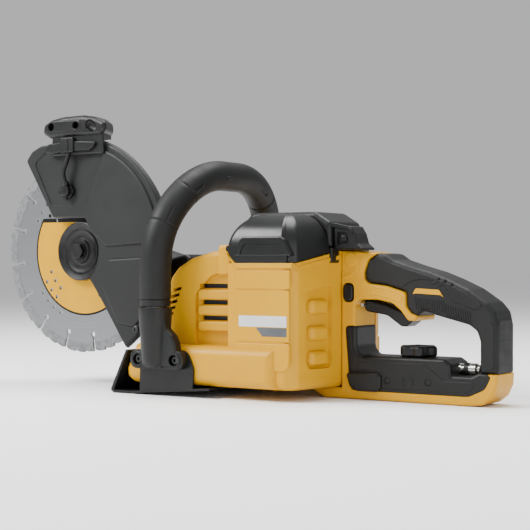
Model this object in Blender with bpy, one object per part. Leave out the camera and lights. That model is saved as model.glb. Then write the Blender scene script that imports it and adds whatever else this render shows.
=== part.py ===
"""Battery rescue saw: 230 mm diamond blade, swinging guard, wrap handle and rear handle.

Every length in this file is in millimetres and every place is measured from the blade's
centre: +X runs back to the rear handle, +Y away from the blade's outer face, +Z up.
The empty "blade_centre" holds all of them, so that the model's own origin lies on the
ground under the middle of the saw.
"""
import math

import bmesh
import bpy
from mathutils import Matrix, Vector

MM = 0.001
GAP = 0.3

# Blade and the parts clamped on its spindle
BLADE_R = 115.0
BLADE_CORE = 1.1
BLADE_SEGMENTS = 16
SLOT_HALF = 1.25
SLOT_DEPTH_R = 95.0
KEYHOLE_R = 3.0
SLOT_PHASE = math.radians(8.0)
BORE_R = 11.1
LABEL_R = 73.0
FLANGE_R = 33.4
SPINDLE_R = 8.0

# Overall places
MID_Y = 41.0
GROUND_Z = -150.5
REAR_X = 495.0
HANDLE_HALF = 21.5

# Guard
GUARD_R = 129.2
GUARD_WALL = 2.5
GUARD_NEAR_Y = -14.0
GUARD_FAR_Y = 14.5
GUARD_TOP_DEG = 109.0
GUARD_LOW_DEG = -56.3
BOSS_R = 27.0

# Bevel drive: the motor's axis meets the spindle's axis and tips down to the rear
MOTOR_TILT = math.radians(15.5)
MOTOR_DIR = Vector((math.cos(MOTOR_TILT), 0.0, -math.sin(MOTOR_TILT)))
APEX = Vector((0.0, MID_Y, 0.0))
GEAR_TEETH = 30
PINION_TEETH = 10
GEAR_PITCH_R = 30.0
TOOTH_FACE = 9.0

# Front hoop handle
HOOP_X = 152.0
HOOP_LEAN = 20.0
HOOP_HALF = 105.0
HOOP_BEND_R = 90.0
HOOP_SPRING_Z = -9.0
HOOP_LOW_Z = -90.0
HOOP_GRIP_Z = -59.0
HOOP_GRIP_R = 16.2
HOOP_TUBE_R = 9.5

# Casing
WALL = 3.0
TUB_NEAR_Y = -57.0
MOTOR_NEAR_Y = -38.0
BOX_NEAR_Y = -50.0
TUB_TOP_Z = -98.0
TUB_LOW_Z = -139.0
BOX_TOP_Z = -14.0
MOTOR_TOP_Z = -3.0
DOCK_TOP_Z = 1.7
BOX_REAR_X = 325.0

ORIGIN = Vector(((REAR_X - BLADE_R) / 2, MID_Y, GROUND_Z))


def clear_scene():
    """Remove whatever the file holds."""
    for item in list(bpy.data.objects):
        bpy.data.objects.remove(item, do_unlink=True)


clear_scene()
ROOT = bpy.data.objects.new("blade_centre", None)
ROOT.location = -ORIGIN * MM
bpy.context.scene.collection.objects.link(ROOT)


def paint(name, rgb, roughness, metallic=0.0):
    """A plain Principled material."""
    mat = bpy.data.materials.new(name)
    mat.use_nodes = True
    shader = mat.node_tree.nodes["Principled BSDF"]
    shader.inputs["Base Color"].default_value = (*rgb, 1.0)
    shader.inputs["Roughness"].default_value = roughness
    shader.inputs["Metallic"].default_value = metallic
    mat.diffuse_color = (*rgb, 1.0)
    return mat


YELLOW = ((0.80, 0.48, 0.02), 0.45)
BLACK = ((0.02, 0.02, 0.022), 0.55)
RUBBER = ((0.025, 0.025, 0.025), 0.8)
STEEL = ((0.55, 0.56, 0.58), 0.35, 1.0)
DARK_STEEL = ((0.10, 0.10, 0.11), 0.45, 1.0)
CAST = ((0.05, 0.05, 0.055), 0.5, 1.0)
COPPER = ((0.72, 0.35, 0.18), 0.4, 1.0)
BRASS = ((0.75, 0.55, 0.25), 0.35, 1.0)
PAPER = ((0.85, 0.55, 0.03), 0.6)


# ---------------------------------------------------------------- outlines

def arc(cx, cy, radius, start_deg, end_deg, steps):
    """Points along an arc, both ends included."""
    points = []
    for i in range(steps + 1):
        angle = math.radians(start_deg + (end_deg - start_deg) * i / steps)
        points.append((cx + radius * math.cos(angle), cy + radius * math.sin(angle)))
    return points


def circle(cx, cy, radius, steps):
    """A closed ring of points."""
    return arc(cx, cy, radius, 0.0, 360.0 * (steps - 1) / steps, steps - 1)


def rounded(points, radius, steps=3):
    """The outline with every corner turned into an arc, as far as its sides allow."""
    result = []
    count = len(points)
    for i, point in enumerate(points):
        here = Vector(point)
        back = Vector(points[i - 1]) - here
        ahead = Vector(points[(i + 1) % count]) - here
        room = 0.45 * min(back.length, ahead.length)
        half = back.angle(ahead) / 2
        if half > math.radians(84):
            result.append(point)
            continue
        reach = min(radius / math.tan(half), room)
        start = here + back.normalized() * reach
        end = here + ahead.normalized() * reach
        for k in range(steps + 1):
            t = k / steps
            mix = start * (1 - t) ** 2 + here * 2 * t * (1 - t) + end * t ** 2
            result.append((mix.x, mix.y))
    return result


def grown(points, distance):
    """The outline moved outwards; a negative distance moves it inwards."""
    area = sum(p[0] * q[1] - q[0] * p[1] for p, q in zip(points, points[1:] + points[:1]))
    side = 1.0 if area > 0 else -1.0
    result = []
    count = len(points)
    for i, point in enumerate(points):
        before = (Vector(point) - Vector(points[i - 1])).normalized()
        after = (Vector(points[(i + 1) % count]) - Vector(point)).normalized()
        normal_a = Vector((before.y, -before.x)) * side
        normal_b = Vector((after.y, -after.x)) * side
        mean = (normal_a + normal_b).normalized()
        reach = distance / max(0.35, mean.dot(normal_a))
        result.append((point[0] + mean.x * reach, point[1] + mean.y * reach))
    return result


def rect(a0, a1, b0, b1):
    """A rectangle's four corners."""
    return [(a0, b0), (a1, b0), (a1, b1), (a0, b1)]


# ---------------------------------------------------------------- solids

def lift(plane, point, height):
    """Turn an outline's point into space: the plane names the direction it is pulled in."""
    if plane == "Y":
        return Vector((point[0], height, point[1]))
    if plane == "Z":
        return Vector((point[0], point[1], height))
    return Vector((height, point[0], point[1]))


def slab(plane, low, high, *loops):
    """A flat piece: an outline and its holes, pulled from low to high."""
    bm = bmesh.new()
    edges = []
    for loop in loops:
        ring = [bm.verts.new(lift(plane, point, low)) for point in loop]
        for i, vert in enumerate(ring):
            edges.append(bm.edges.new((vert, ring[(i + 1) % len(ring)])))
    bmesh.ops.triangle_fill(bm, use_beauty=True, edges=edges)
    pulled = bmesh.ops.extrude_face_region(bm, geom=bm.faces[:])
    tops = [item for item in pulled["geom"] if isinstance(item, bmesh.types.BMVert)]
    shift = lift(plane, (0.0, 0.0), high - low)
    bmesh.ops.translate(bm, verts=tops, vec=shift)
    bmesh.ops.recalc_face_normals(bm, faces=bm.faces[:])
    return bm


def block(x, y, z):
    """A box between three pairs of limits."""
    return slab("Z", z[0], z[1], rect(x[0], x[1], y[0], y[1]))


def skin_rings(rings, closed_loop, caps=True):
    """Join rings of equal length into a surface, capped at its ends unless it closes on itself."""
    bm = bmesh.new()
    rows = [[bm.verts.new(point) for point in ring] for ring in rings]
    pairs = list(zip(rows, rows[1:]))
    if closed_loop:
        pairs.append((rows[-1], rows[0]))
    for first, second in pairs:
        for i in range(len(first)):
            j = (i + 1) % len(first)
            bm.faces.new((first[i], first[j], second[j], second[i]))
    if caps and not closed_loop:
        bm.faces.new(rows[0])
        bm.faces.new(rows[-1])
    bmesh.ops.recalc_face_normals(bm, faces=bm.faces[:])
    return bm


def turned(origin, direction, profile, steps=24, bored=False):
    """A turned piece: profile points are (distance along the axis, radius)."""
    axis = Vector(direction).normalized()
    side = axis.orthogonal().normalized()
    other = axis.cross(side)
    rings = []
    for along, radius in profile:
        ring = []
        for i in range(steps):
            angle = 2 * math.pi * i / steps
            spoke = side * math.cos(angle) + other * math.sin(angle)
            ring.append(Vector(origin) + axis * along + spoke * radius)
        rings.append(ring)
    return skin_rings(rings, bored)


def disc(origin, direction, low, high, radius, bore=0.0, steps=24):
    """A plain cylinder, or a ring when it has a bore."""
    if bore:
        profile = [(low, bore), (low, radius), (high, radius), (high, bore)]
        return turned(origin, direction, profile, steps, bored=True)
    return turned(origin, direction, [(low, radius), (high, radius)], steps)


def swept(path, radius, bore, steps):
    """A round bar along a path that runs across X; a bore makes it a sleeve."""
    rings_out = []
    rings_in = []
    for i, point in enumerate(path):
        before = path[max(i - 1, 0)]
        after = path[min(i + 1, len(path) - 1)]
        along = (after - before).normalized()
        side = Vector((1.0, 0.0, 0.0))
        side = (side - along * side.dot(along)).normalized()
        other = along.cross(side)
        spokes = []
        for k in range(steps):
            angle = 2 * math.pi * k / steps
            spokes.append(side * math.cos(angle) + other * math.sin(angle))
        rings_out.append([point + spoke * radius for spoke in spokes])
        rings_in.append([point + spoke * bore for spoke in spokes])
    if bore:
        return skin_rings(rings_out + rings_in[::-1], True)
    return skin_rings(rings_out, False)


def bevel_wheel(direction, towards, teeth, mate_teeth, backing, bore, first_gap):
    """A bevel gear whose tooth rays all meet at the drive's apex."""
    axis = Vector(direction).normalized()
    side = Vector(towards).normalized()
    other = axis.cross(side)
    pitch = math.atan2(teeth, mate_teeth)
    cone = math.hypot(GEAR_PITCH_R, GEAR_PITCH_R * PINION_TEETH / GEAR_TEETH)
    tip = pitch + 1.25 / cone
    root = pitch - 1.9 / cone
    step = 2 * math.pi / teeth
    outline = []
    for k in range(teeth):
        middle = step * (k + (0.5 if first_gap else 0.0))
        for angle, share in ((root, -0.24), (tip, -0.10), (tip, 0.10), (root, 0.24)):
            outline.append((angle, middle + share * step))

    def ring(distance):
        points = []
        for angle, turn in outline:
            spoke = side * math.cos(turn) + other * math.sin(turn)
            points.append(APEX + (axis * math.cos(angle) + spoke * math.sin(angle)) * distance)
        return points

    def plain(along, radius):
        points = []
        for _, turn in outline:
            spoke = side * math.cos(turn) + other * math.sin(turn)
            points.append(APEX + axis * along + spoke * radius)
        return points

    inner = cone - TOOTH_FACE
    front = inner * math.cos(pitch)
    back = cone * math.cos(pitch) + backing
    heel_r = cone * math.sin(root) - 0.6
    rings = [plain(front, bore), ring(inner), ring(cone), plain(back, heel_r), plain(back, bore)]
    return skin_rings(rings, True)


def finish(name, bm, look, pivot=(0.0, 0.0, 0.0), smooth_deg=35.0):
    """Turn a bmesh in millimetres from the blade's centre into a named object."""
    pivot = Vector(pivot)
    bmesh.ops.translate(bm, verts=bm.verts[:], vec=-pivot)
    bmesh.ops.scale(bm, verts=bm.verts[:], vec=(MM, MM, MM))
    mesh = bpy.data.meshes.new(name)
    bm.to_mesh(mesh)
    bm.free()
    mesh.shade_smooth()
    mesh.set_sharp_from_angle(angle=math.radians(smooth_deg))
    item = bpy.data.objects.new(name, mesh)
    item.location = pivot * MM
    item.parent = ROOT
    bpy.context.scene.collection.objects.link(item)
    if look is not None:
        mesh.materials.append(paint(name, *look))
    return item


def tool(target, bm, operation):
    """Add a hidden solid to a piece, or take it away."""
    label = "tool_%s_%d" % (target.name, len(target.modifiers))
    cutter = finish(label, bm, None)
    cutter.hide_render = True
    cutter.display_type = "WIRE"
    change = target.modifiers.new(label, "BOOLEAN")
    change.operation = operation
    change.solver = "EXACT"
    change.object = cutter


def cut(target, *solids):
    """Take solids away from a piece."""
    for solid in solids:
        tool(target, solid, "DIFFERENCE")


def add(target, *solids):
    """Weld solids on to a piece."""
    for solid in solids:
        tool(target, solid, "UNION")


def soften(target, width, segments=2):
    """Round the sharp edges."""
    change = target.modifiers.new("rounding", "BEVEL")
    change.width = width * MM
    change.segments = segments
    change.limit_method = "ANGLE"
    change.angle_limit = math.radians(50)
    change.use_clamp_overlap = True


def across(side, near_y):
    """The Y of a face on the near side (-1) or its mirror on the far side (+1)."""
    return near_y if side < 0 else 2 * MID_Y - near_y


def span(side, near_a, near_b):
    """Ordered Y limits of a piece on either side."""
    return sorted((across(side, near_a), across(side, near_b)))


SIDES = (("left", -1), ("right", 1))


# ---------------------------------------------------------------- blade and spindle

def blade_outline():
    """The rim with its keyhole slots, walked anticlockwise."""
    points = []
    step = 2 * math.pi / BLADE_SEGMENTS
    for i in range(BLADE_SEGMENTS):
        slot = SLOT_PHASE + step * i
        at_rim = math.asin(SLOT_HALF / BLADE_R)
        for k in range(4):
            angle = slot - step + at_rim + (step - 2 * at_rim) * k / 3
            points.append((BLADE_R * math.cos(angle), BLADE_R * math.sin(angle)))
        centre = Vector((math.cos(slot), math.sin(slot))) * SLOT_DEPTH_R
        mouth = math.asin(SLOT_HALF / KEYHOLE_R)
        for k in range(7):
            turn = slot - mouth - (2 * math.pi - 2 * mouth) * k / 6
            points.append((centre.x + KEYHOLE_R * math.cos(turn),
                           centre.y + KEYHOLE_R * math.sin(turn)))
    return points


def build_blade():
    """The diamond blade, its label, both flanges, the bolt, the spindle and the big gear."""
    core = slab("Y", -BLADE_CORE, BLADE_CORE, blade_outline(), circle(0, 0, BORE_R, 24))
    finish("diamond_blade", core, STEEL)
    label_face = -BLADE_CORE - GAP
    ring = slab("Y", label_face - 0.3, label_face, circle(0, 0, LABEL_R, 36), circle(0, 0, 14, 18))
    finish("blade_label", ring, PAPER)
    seat = label_face - 0.3 - GAP
    outer = [(-seat, 5.4), (-seat, FLANGE_R), (-seat + 6.8, FLANGE_R), (-seat + 6.8, 32.0),
             (-seat + 4.6, 24.0), (-seat + 3.0, 21.0), (-seat + 3.4, 13.0), (-seat + 6.8, 12.0),
             (-seat + 6.8, 5.4)]
    finish("outer_flange", turned((0, 0, 0), (0, -1, 0), outer, 28, True), DARK_STEEL)
    inner = [(BLADE_CORE + GAP, 10.7), (BLADE_CORE + GAP, FLANGE_R), (4.0, FLANGE_R), (6.0, 26.0),
             (7.2, 14.0), (7.2, SPINDLE_R + GAP), (seat + GAP, SPINDLE_R + GAP), (seat + GAP, 10.7)]
    finish("inner_flange", turned((0, 0, 0), (0, 1, 0), inner, 28, True), DARK_STEEL)
    head = -seat + 6.8 + GAP
    bolt = finish("flange_bolt", slab("Y", -head - 5.5, -head, circle(0, 0, 8.6, 6)), STEEL)
    add(bolt, disc((0, 0, 0), (0, 1, 0), -head - 0.5, 22.0, 5.0, steps=16))
    shaft = [(-1.2, 5.3), (-1.2, SPINDLE_R), (52.0, SPINDLE_R), (52.0, 6.0), (67.2, 6.0),
             (67.2, 0.8), (24.0, 0.8), (24.0, 5.3)]
    finish("spindle", turned((0, 0, 0), (0, 1, 0), shaft, 20, True), STEEL)
    gear = bevel_wheel((0, -1, 0), MOTOR_DIR, GEAR_TEETH, PINION_TEETH, 5.5, SPINDLE_R + GAP, True)
    finish("bevel_gear", gear, DARK_STEEL)


# ---------------------------------------------------------------- gear case and motor

def along_motor(profile, steps=24, bored=False):
    """A turned piece on the motor's axis, measured from the drive's apex."""
    return turned(APEX, MOTOR_DIR, profile, steps, bored)


def build_gear_case():
    """The cast case round the bevel gears, its cover and the bearings."""
    case = finish("gear_case", disc((0, 0, 0), (0, 1, 0), 20.0, 62.0, 40.0, steps=32), CAST)
    add(case, disc((0, 0, 0), (0, 1, 0), 10.3, 22.0, BOSS_R, steps=28))
    add(case, along_motor([(18, 20.5), (42, 20.5), (50, 25.5), (140, 25.5), (140, 36.0), (144, 36.0)], 28))
    cut(case, disc((0, 0, 0), (0, 1, 0), 23.0, 70.0, 35.0, steps=28))
    cut(case, disc((0, 0, 0), (0, 1, 0), 11.8, 24.0, 17.8, steps=24))
    cut(case, disc((0, 0, 0), (0, 1, 0), 5.0, 13.0, 10.5, steps=24))
    cut(case, along_motor([(10, 13.0), (33.5, 13.0), (33.5, 14.3), (50, 14.3), (56, 21.0),
                           (150, 21.0)], 24))
    cut(case, disc((0, 50, 0), (0, 0, 1), 30.0, 45.0, 4.5, steps=12))
    cover = [(62.3, 13.3), (62.3, 40.0), (68.0, 40.0), (71.0, 34.0), (71.0, 0.8), (68.0, 0.8),
             (68.0, 13.3)]
    finish("gear_case_cover", turned((0, 0, 0), (0, 1, 0), cover, 28, True), CAST)
    finish("spindle_front_bearing", disc((0, 0, 0), (0, 1, 0), 12.1, 22.0, 17.5, 8.3, 20), STEEL)
    finish("spindle_rear_bearing", disc((0, 0, 0), (0, 1, 0), 62.6, 67.7, 13.0, 6.3, 20), STEEL)
    button = turned((0, 50, 0), (0, 0, 1), [(30, 4.0), (46, 4.0), (46, 9.0), (51.5, 9.0),
                                            (53, 7.5)], 16)
    collar = disc((0, 50, 0), (0, 0, 1), 36.0, 41.0, 8.0, 4.5, 12)
    add(case, collar)
    finish("spindle_lock_button", button, BLACK, pivot=(0, 50, 49))


def build_motor():
    """The brushless motor inside the casing."""
    finish("motor_front_bearing", along_motor([(34, 5.3), (34, 14), (43, 14), (43, 5.3)], 16, True),
           STEEL)
    finish("stator", along_motor([(164, 21), (164, 33), (210, 33), (210, 21)], 28, True), COPPER)
    finish("rotor_core", along_motor([(166, 5.3), (166, 20), (208, 20), (208, 5.3)], 24, True),
           DARK_STEEL, pivot=APEX)
    finish("motor_shaft", along_motor([(21, 5.0), (226, 5.0)], 14), STEEL, pivot=APEX)
    fan = finish("cooling_fan", along_motor([(152, 5.3), (152, 12), (153, 19), (154.5, 19),
                                             (155, 12), (161, 12), (161, 5.3)], 20, True),
                 BLACK, pivot=APEX)
    side = MOTOR_DIR.orthogonal().normalized()
    other = MOTOR_DIR.cross(side)
    for k in range(7):
        angle = 2 * math.pi * k / 7
        spoke = side * math.cos(angle) + other * math.sin(angle)
        across_vane = MOTOR_DIR.cross(spoke)
        rings = []
        for reach in (11.0, 25.0):
            foot = APEX + spoke * reach
            rings.append([foot + MOTOR_DIR * 152.4 + across_vane * (-1.0),
                          foot + MOTOR_DIR * 160.6 + across_vane * (-1.0),
                          foot + MOTOR_DIR * 160.6 + across_vane,
                          foot + MOTOR_DIR * 152.4 + across_vane])
        add(fan, skin_rings(rings, False))
    pinion = bevel_wheel(MOTOR_DIR, (0, -1, 0), PINION_TEETH, GEAR_TEETH, 2.0, 5.3, False)
    finish("pinion_gear", pinion, DARK_STEEL, pivot=APEX)
    finish("motor_rear_bearing", along_motor([(216, 5.3), (216, 11), (223, 11), (223, 5.3)], 16,
                                             True), STEEL)
    carrier = [(214, 11.3), (214, 31), (220, 31), (230, 15), (230, 2), (227, 2), (227, 11.3)]
    finish("rear_bearing_carrier", along_motor(carrier, 20, True), BLACK)


# ---------------------------------------------------------------- casing

def box_plan(inset):
    """The electronics box seen from above, up to just past the middle plane."""
    points = [(232, BOX_NEAR_Y), (300, BOX_NEAR_Y), (311, BOX_NEAR_Y + 8), (BOX_REAR_X, 20),
              (BOX_REAR_X, MID_Y + 5), (232, MID_Y + 5)]
    return grown(points, -inset) if inset else points


def mirrored(points, side):
    """Plan points moved to the far side when wanted."""
    return [(x, across(side, y)) for x, y in points]


def build_casing():
    """Two clamshell halves: tub, motor section with vents, and electronics box."""
    tub = [(114.4, -104), (104.8, -126), (112, TUB_LOW_Z), (290, TUB_LOW_Z), (290, TUB_TOP_Z),
           (116, TUB_TOP_Z)]
    motor = [(136, -101), (136, -14), (146, MOTOR_TOP_Z), (229.5, MOTOR_TOP_Z),
             (229.5, -19), (236, -19), (236, -101)]
    for word, side in SIDES:
        half = finish("housing_" + word, slab("Y", *span(side, TUB_NEAR_Y, MID_Y + 5), tub), YELLOW)
        add(half, slab("Y", *span(side, MOTOR_NEAR_Y, MID_Y + 4), motor))
        add(half, slab("Z", TUB_LOW_Z - 0.4, BOX_TOP_Z, mirrored(box_plan(0), side)))
        cut(half, slab("Y", *span(side, TUB_NEAR_Y + WALL, MID_Y + 9), grown(tub, -WALL)))
        cut(half, slab("Y", *span(side, MOTOR_NEAR_Y + WALL, MID_Y + 9),
                       rect(139, 226.5, -112, MOTOR_TOP_Z - WALL)))
        cut(half, slab("Y", *span(side, MOTOR_NEAR_Y + WALL, MID_Y + 9), rect(222, 240, -95, -30)))
        cut(half, slab("Z", TUB_LOW_Z + WALL, BOX_TOP_Z - WALL, mirrored(box_plan(WALL), side)))
        cut(half, along_motor([(130, 36.4), (150, 36.4)], 28))
        for level in (-37.5, -54.5, -70.5):
            mouth = rounded(rect(187, 226, level - 2.0, level + 2.0), 1.4, 2)
            cut(half, slab("Y", *span(side, MOTOR_NEAR_Y - 1, MOTOR_NEAR_Y + WALL + 1), mouth))
        keep_clear = span(side, MID_Y - GAP / 2, MID_Y + 30)
        cut(half, block((90, 340), keep_clear, (-160, 10)))
    finish("controller_module", block((243, 296), (-42, 16), (-122, -30)), DARK_STEEL)


def build_top():
    """The domed cover in front of the battery, the battery dock, the battery and its latch."""
    levels = ((-13.7, 231, 334, -50, 2), (-3, 231, 331, -49.5, 2), (10, 237, 322, -45, 2),
              (22, 244, 314, -38, 2), (31, 252, 301, -28, 2), (37, 262, 288, -14, 2))
    rings = []
    inner_rings = []
    for z, x0, x1, y0, y1 in levels:
        plan = rounded(rect(x0, x1, y0, y1), 12, 4)
        rings.append([Vector((x, y, z)) for x, y in plan])
        small = rounded(rect(x0 + 3, x1 - 3, y0 + 3, y1 - 3), 10, 4)
        inner_rings.append([Vector((x, y, z - 3)) for x, y in small])
    cover = finish("top_cover", skin_rings(rings, False), BLACK)
    cut(cover, skin_rings(inner_rings, False))
    deck = [(231, 2.6), (324.9, 2.6), (324.9, 80), (300, 112), (290, 131), (231, 131)]
    dock = finish("battery_dock", slab("Z", -13.7, DOCK_TOP_Z, deck), BLACK)
    rear = [(322.4, -0.6), (322.4, 24), (344.5, 24), (348, 12), (356, 1.5), (356, -0.6)]
    add(dock, slab("Y", 8, 36, rear))
    add(dock, slab("Y", 35, 60, [(322.4, -0.6), (322.4, 24), (330, 24), (330, -0.6)]))
    add(dock, slab("Y", 68.6, 131, rounded(rect(233, 286, -5, 31), 8, 3)))
    cut(dock, block((240, 300), (20, 60), (-14.5, 4)))
    finish("terminal_block", block((241, 299), (21, 59), (-13.5, DOCK_TOP_Z)), BLACK)
    low = DOCK_TOP_Z + GAP
    side_view = rounded([(216, 8), (216, 28), (226, 38.5), (303, 38.5), (322, 27), (322, low), (232, low)],
                        6, 3)
    pack = finish("battery_pack", slab("Y", 4, 68, side_view), BLACK)
    cut(pack, block((312, 330), (38, 58), (8, 22)))
    finish("battery_latch", block((316.5, 321.9), (38.5, 57.5), (9, 21)), RUBBER, pivot=(319, 48, 15))


# ---------------------------------------------------------------- front handle and skid plate

def leaned(point):
    """The hoop's top leans back: the higher the point, the further it moves."""
    rise = max(0.0, point.z + 30.0) / 112.0
    return Vector((point.x + HOOP_LEAN * rise ** 2, point.y, point.z))


def hoop_path(low_z):
    """The hoop's middle line from one leg to the other."""
    near_y = MID_Y - HOOP_HALF
    inset = HOOP_HALF - HOOP_BEND_R
    points = [Vector((HOOP_X, near_y, low_z)), Vector((HOOP_X, near_y, -30.0))]
    for y, z in arc(MID_Y - inset, HOOP_SPRING_Z, HOOP_BEND_R, 180, 90, 7):
        points.append(Vector((HOOP_X, y, z)))
    for y, z in arc(MID_Y + inset, HOOP_SPRING_Z, HOOP_BEND_R, 90, 0, 7):
        points.append(Vector((HOOP_X, y, z)))
    points.append(Vector((HOOP_X, MID_Y + HOOP_HALF, -30.0)))
    points.append(Vector((HOOP_X, MID_Y + HOOP_HALF, low_z)))
    return [leaned(point) for point in points]


def build_front():
    """Hoop tube, its grip, the brackets with their screws, and the skid plate."""
    finish("front_handle_tube", swept(hoop_path(HOOP_LOW_Z), HOOP_TUBE_R, 0, 10), STEEL)
    grip_low = HOOP_GRIP_Z + GAP
    finish("front_handle_grip", swept(hoop_path(grip_low), HOOP_GRIP_R, HOOP_TUBE_R + GAP, 14), RUBBER)
    foot = [(HOOP_X - 30, -122), (190, -122), (190, -98), (173, -70), (HOOP_X - 16, -70),
            (HOOP_X - 21, -95), (HOOP_X - 30, -104)]
    for word, side in SIDES:
        leg_y = MID_Y + side * HOOP_HALF
        socket = disc((HOOP_X, leg_y, 0), (0, 0, 1), -112.0, HOOP_GRIP_Z, 17.5, steps=20)
        bracket = finish("handle_bracket_" + word, socket, BLACK)
        add(bracket, slab("Y", *span(side, -76.0, -60.2), rounded(foot, 3, 2)))
        cut(bracket, disc((HOOP_X, leg_y, 0), (0, 0, 1), HOOP_LOW_Z - GAP, 0, HOOP_TUBE_R + GAP, steps=16))
        cut(bracket, block((100, 220), span(side, -60.2, 0), (-130, TUB_TOP_Z + 6)))
        for index, x in enumerate((133.0, 180.0)):
            bore = disc((x, 0, -113), (0, 1, 0), *span(side, -79, -50), 3.3, steps=12)
            cut(bracket, bore)
            outside = across(side, -76.3)
            inward = (0, -side, 0)
            screw = [(-3.5, 4.0), (-2.5, 5.2), (0, 5.2), (0, 3.0), (22, 3.0)]
            finish("bracket_screw_%s_%d" % (word, index + 1),
                   turned((x, outside, -113), inward, screw, 12), STEEL)
            hole = disc((x, 0, -113), (0, 1, 0), *span(side, -70, -50), 3.3, steps=12)
            cut(bpy.data.objects["housing_" + word], hole)
    build_skid()


def build_skid():
    """The bent steel plate under the tub's front, with a flap up each side."""
    sheet = 2.5
    outer = [(218, -142.6), (198, -144.2), (114, GROUND_Z), (92, GROUND_Z), (88.5, -148), (109.6, -104.5)]
    inner = [(112.2, -104.5), (92.6, -148), (113.5, -148), (198, -141.6), (218, -140.1)]
    low = MID_Y - 101.0
    high = MID_Y + 101.0
    plate = finish("skid_plate", slab("Y", low, high, outer + inner), DARK_STEEL)
    flap = [(128, -148), (197, -143), (198, -122), (190, -103), (131, -103)]
    for word, side in SIDES:
        near = MID_Y + side * 98.3
        limits = sorted((near, near + side * sheet))
        add(plate, slab("Y", *limits, flap))
        for x in (133.0, 180.0):
            ends = sorted((near - side * 3, near + side * 6))
            cut(plate, disc((x, 0, -113), (0, 1, 0), *ends, 3.4, steps=12))


# ---------------------------------------------------------------- rear handle

def frame_outline():
    """The rear handle's yellow frame: neck, bezel, lower bar and heel."""
    return [(325.3, -1.0), (366, -4.2), (356.7, -10), (351.7, -23), (351.7, -32.2), (357, -34.4),
            (394, -41.9), (397.7, -43.4), (397.7, -60.5), (391, -58), (372, -50.5), (344, -50.5),
            (341, -54), (341, -104), (345, -108), (441, -108), (445, -111), (446, -123.5),
            (469, -123.5), (476, -119.3), (494.8, -119.3), (494, -130), (490, -141),
            (480, -148.5), (467, GROUND_Z), (304, GROUND_Z), (292, -144), (292, TUB_LOW_Z - 0.7),
            (325.3, TUB_LOW_Z - 0.7)]


def grip_outline():
    """The black grip: top of the handle and the rear post."""
    return [(367, -4), (383, -11), (403, -17), (425, -23), (445, -31), (465, -40), (484, -52),
            (493, -62), (REAR_X, -73), (REAR_X, -119), (476.2, -119), (476.2, -89), (473, -78),
            (465, -73), (448, -69), (416, -61), (409, -67.5), (404, -66), (398, -61), (398, -43),
            (394, -41.5), (357, -34), (352, -32), (352, -23), (357, -10)]


def panel_outline():
    """The black side panel on the lower bar."""
    return [(331, -80), (340.2, -80), (340.2, -104), (345, -109), (440, -109), (444.5, -112),
            (445, -124.5), (469, -124.5), (476, -121), (489, -121), (481, -135), (465, -141.7),
            (337, -141.7), (337, -121)]


def build_rear_handle():
    """Frame halves, grip, side panels, switch, water valve and hose coupler."""
    near = MID_Y - HANDLE_HALF
    for word, side in SIDES:
        body = slab("Y", *span(side, near, MID_Y - GAP / 2), frame_outline())
        frame = finish("handle_frame_" + word, body, YELLOW)
        cut(frame, slab("Y", *span(side, near + WALL, MID_Y + 5), rect(329, 348, -62, -6)))
        cut(frame, slab("Y", *span(side, near + WALL, MID_Y + 5), rect(349, 437, -146, -112)))
        cut(frame, slab("Y", *span(side, MID_Y - 13.5, MID_Y + 5), rect(342.5, 405, -80, -46)))
        recess = grown(panel_outline(), GAP)
        cut(frame, slab("Y", *span(side, near - 1, near + 2.2), recess))
        cut(frame, disc((402, MID_Y, 0), (0, 0, 1), -115, -100, 5.0, steps=14))
        for index, x in enumerate((379.0, 424.0)):
            cut(frame, disc((x, 0, -130), (0, 1, 0), *span(side, near - 1, near + 9), 3.3, steps=10))
        panel = slab("Y", *span(side, near + 0.2, near + 1.9), panel_outline())
        panel = finish("lower_panel_" + word, panel, BLACK)
        add(panel, slab("Y", *span(side, near - 0.9, near + 1.0),
                        rounded(rect(339, 371, -139.5, -123.5), 5, 2)))
    grip = finish("rear_grip", slab("Y", near, 2 * MID_Y - near, grip_outline()), RUBBER)
    cut(grip, slab("Y", MID_Y - 13.5, MID_Y + 13.5, rect(390, 403.5, -80, -46)))
    build_controls()


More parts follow.
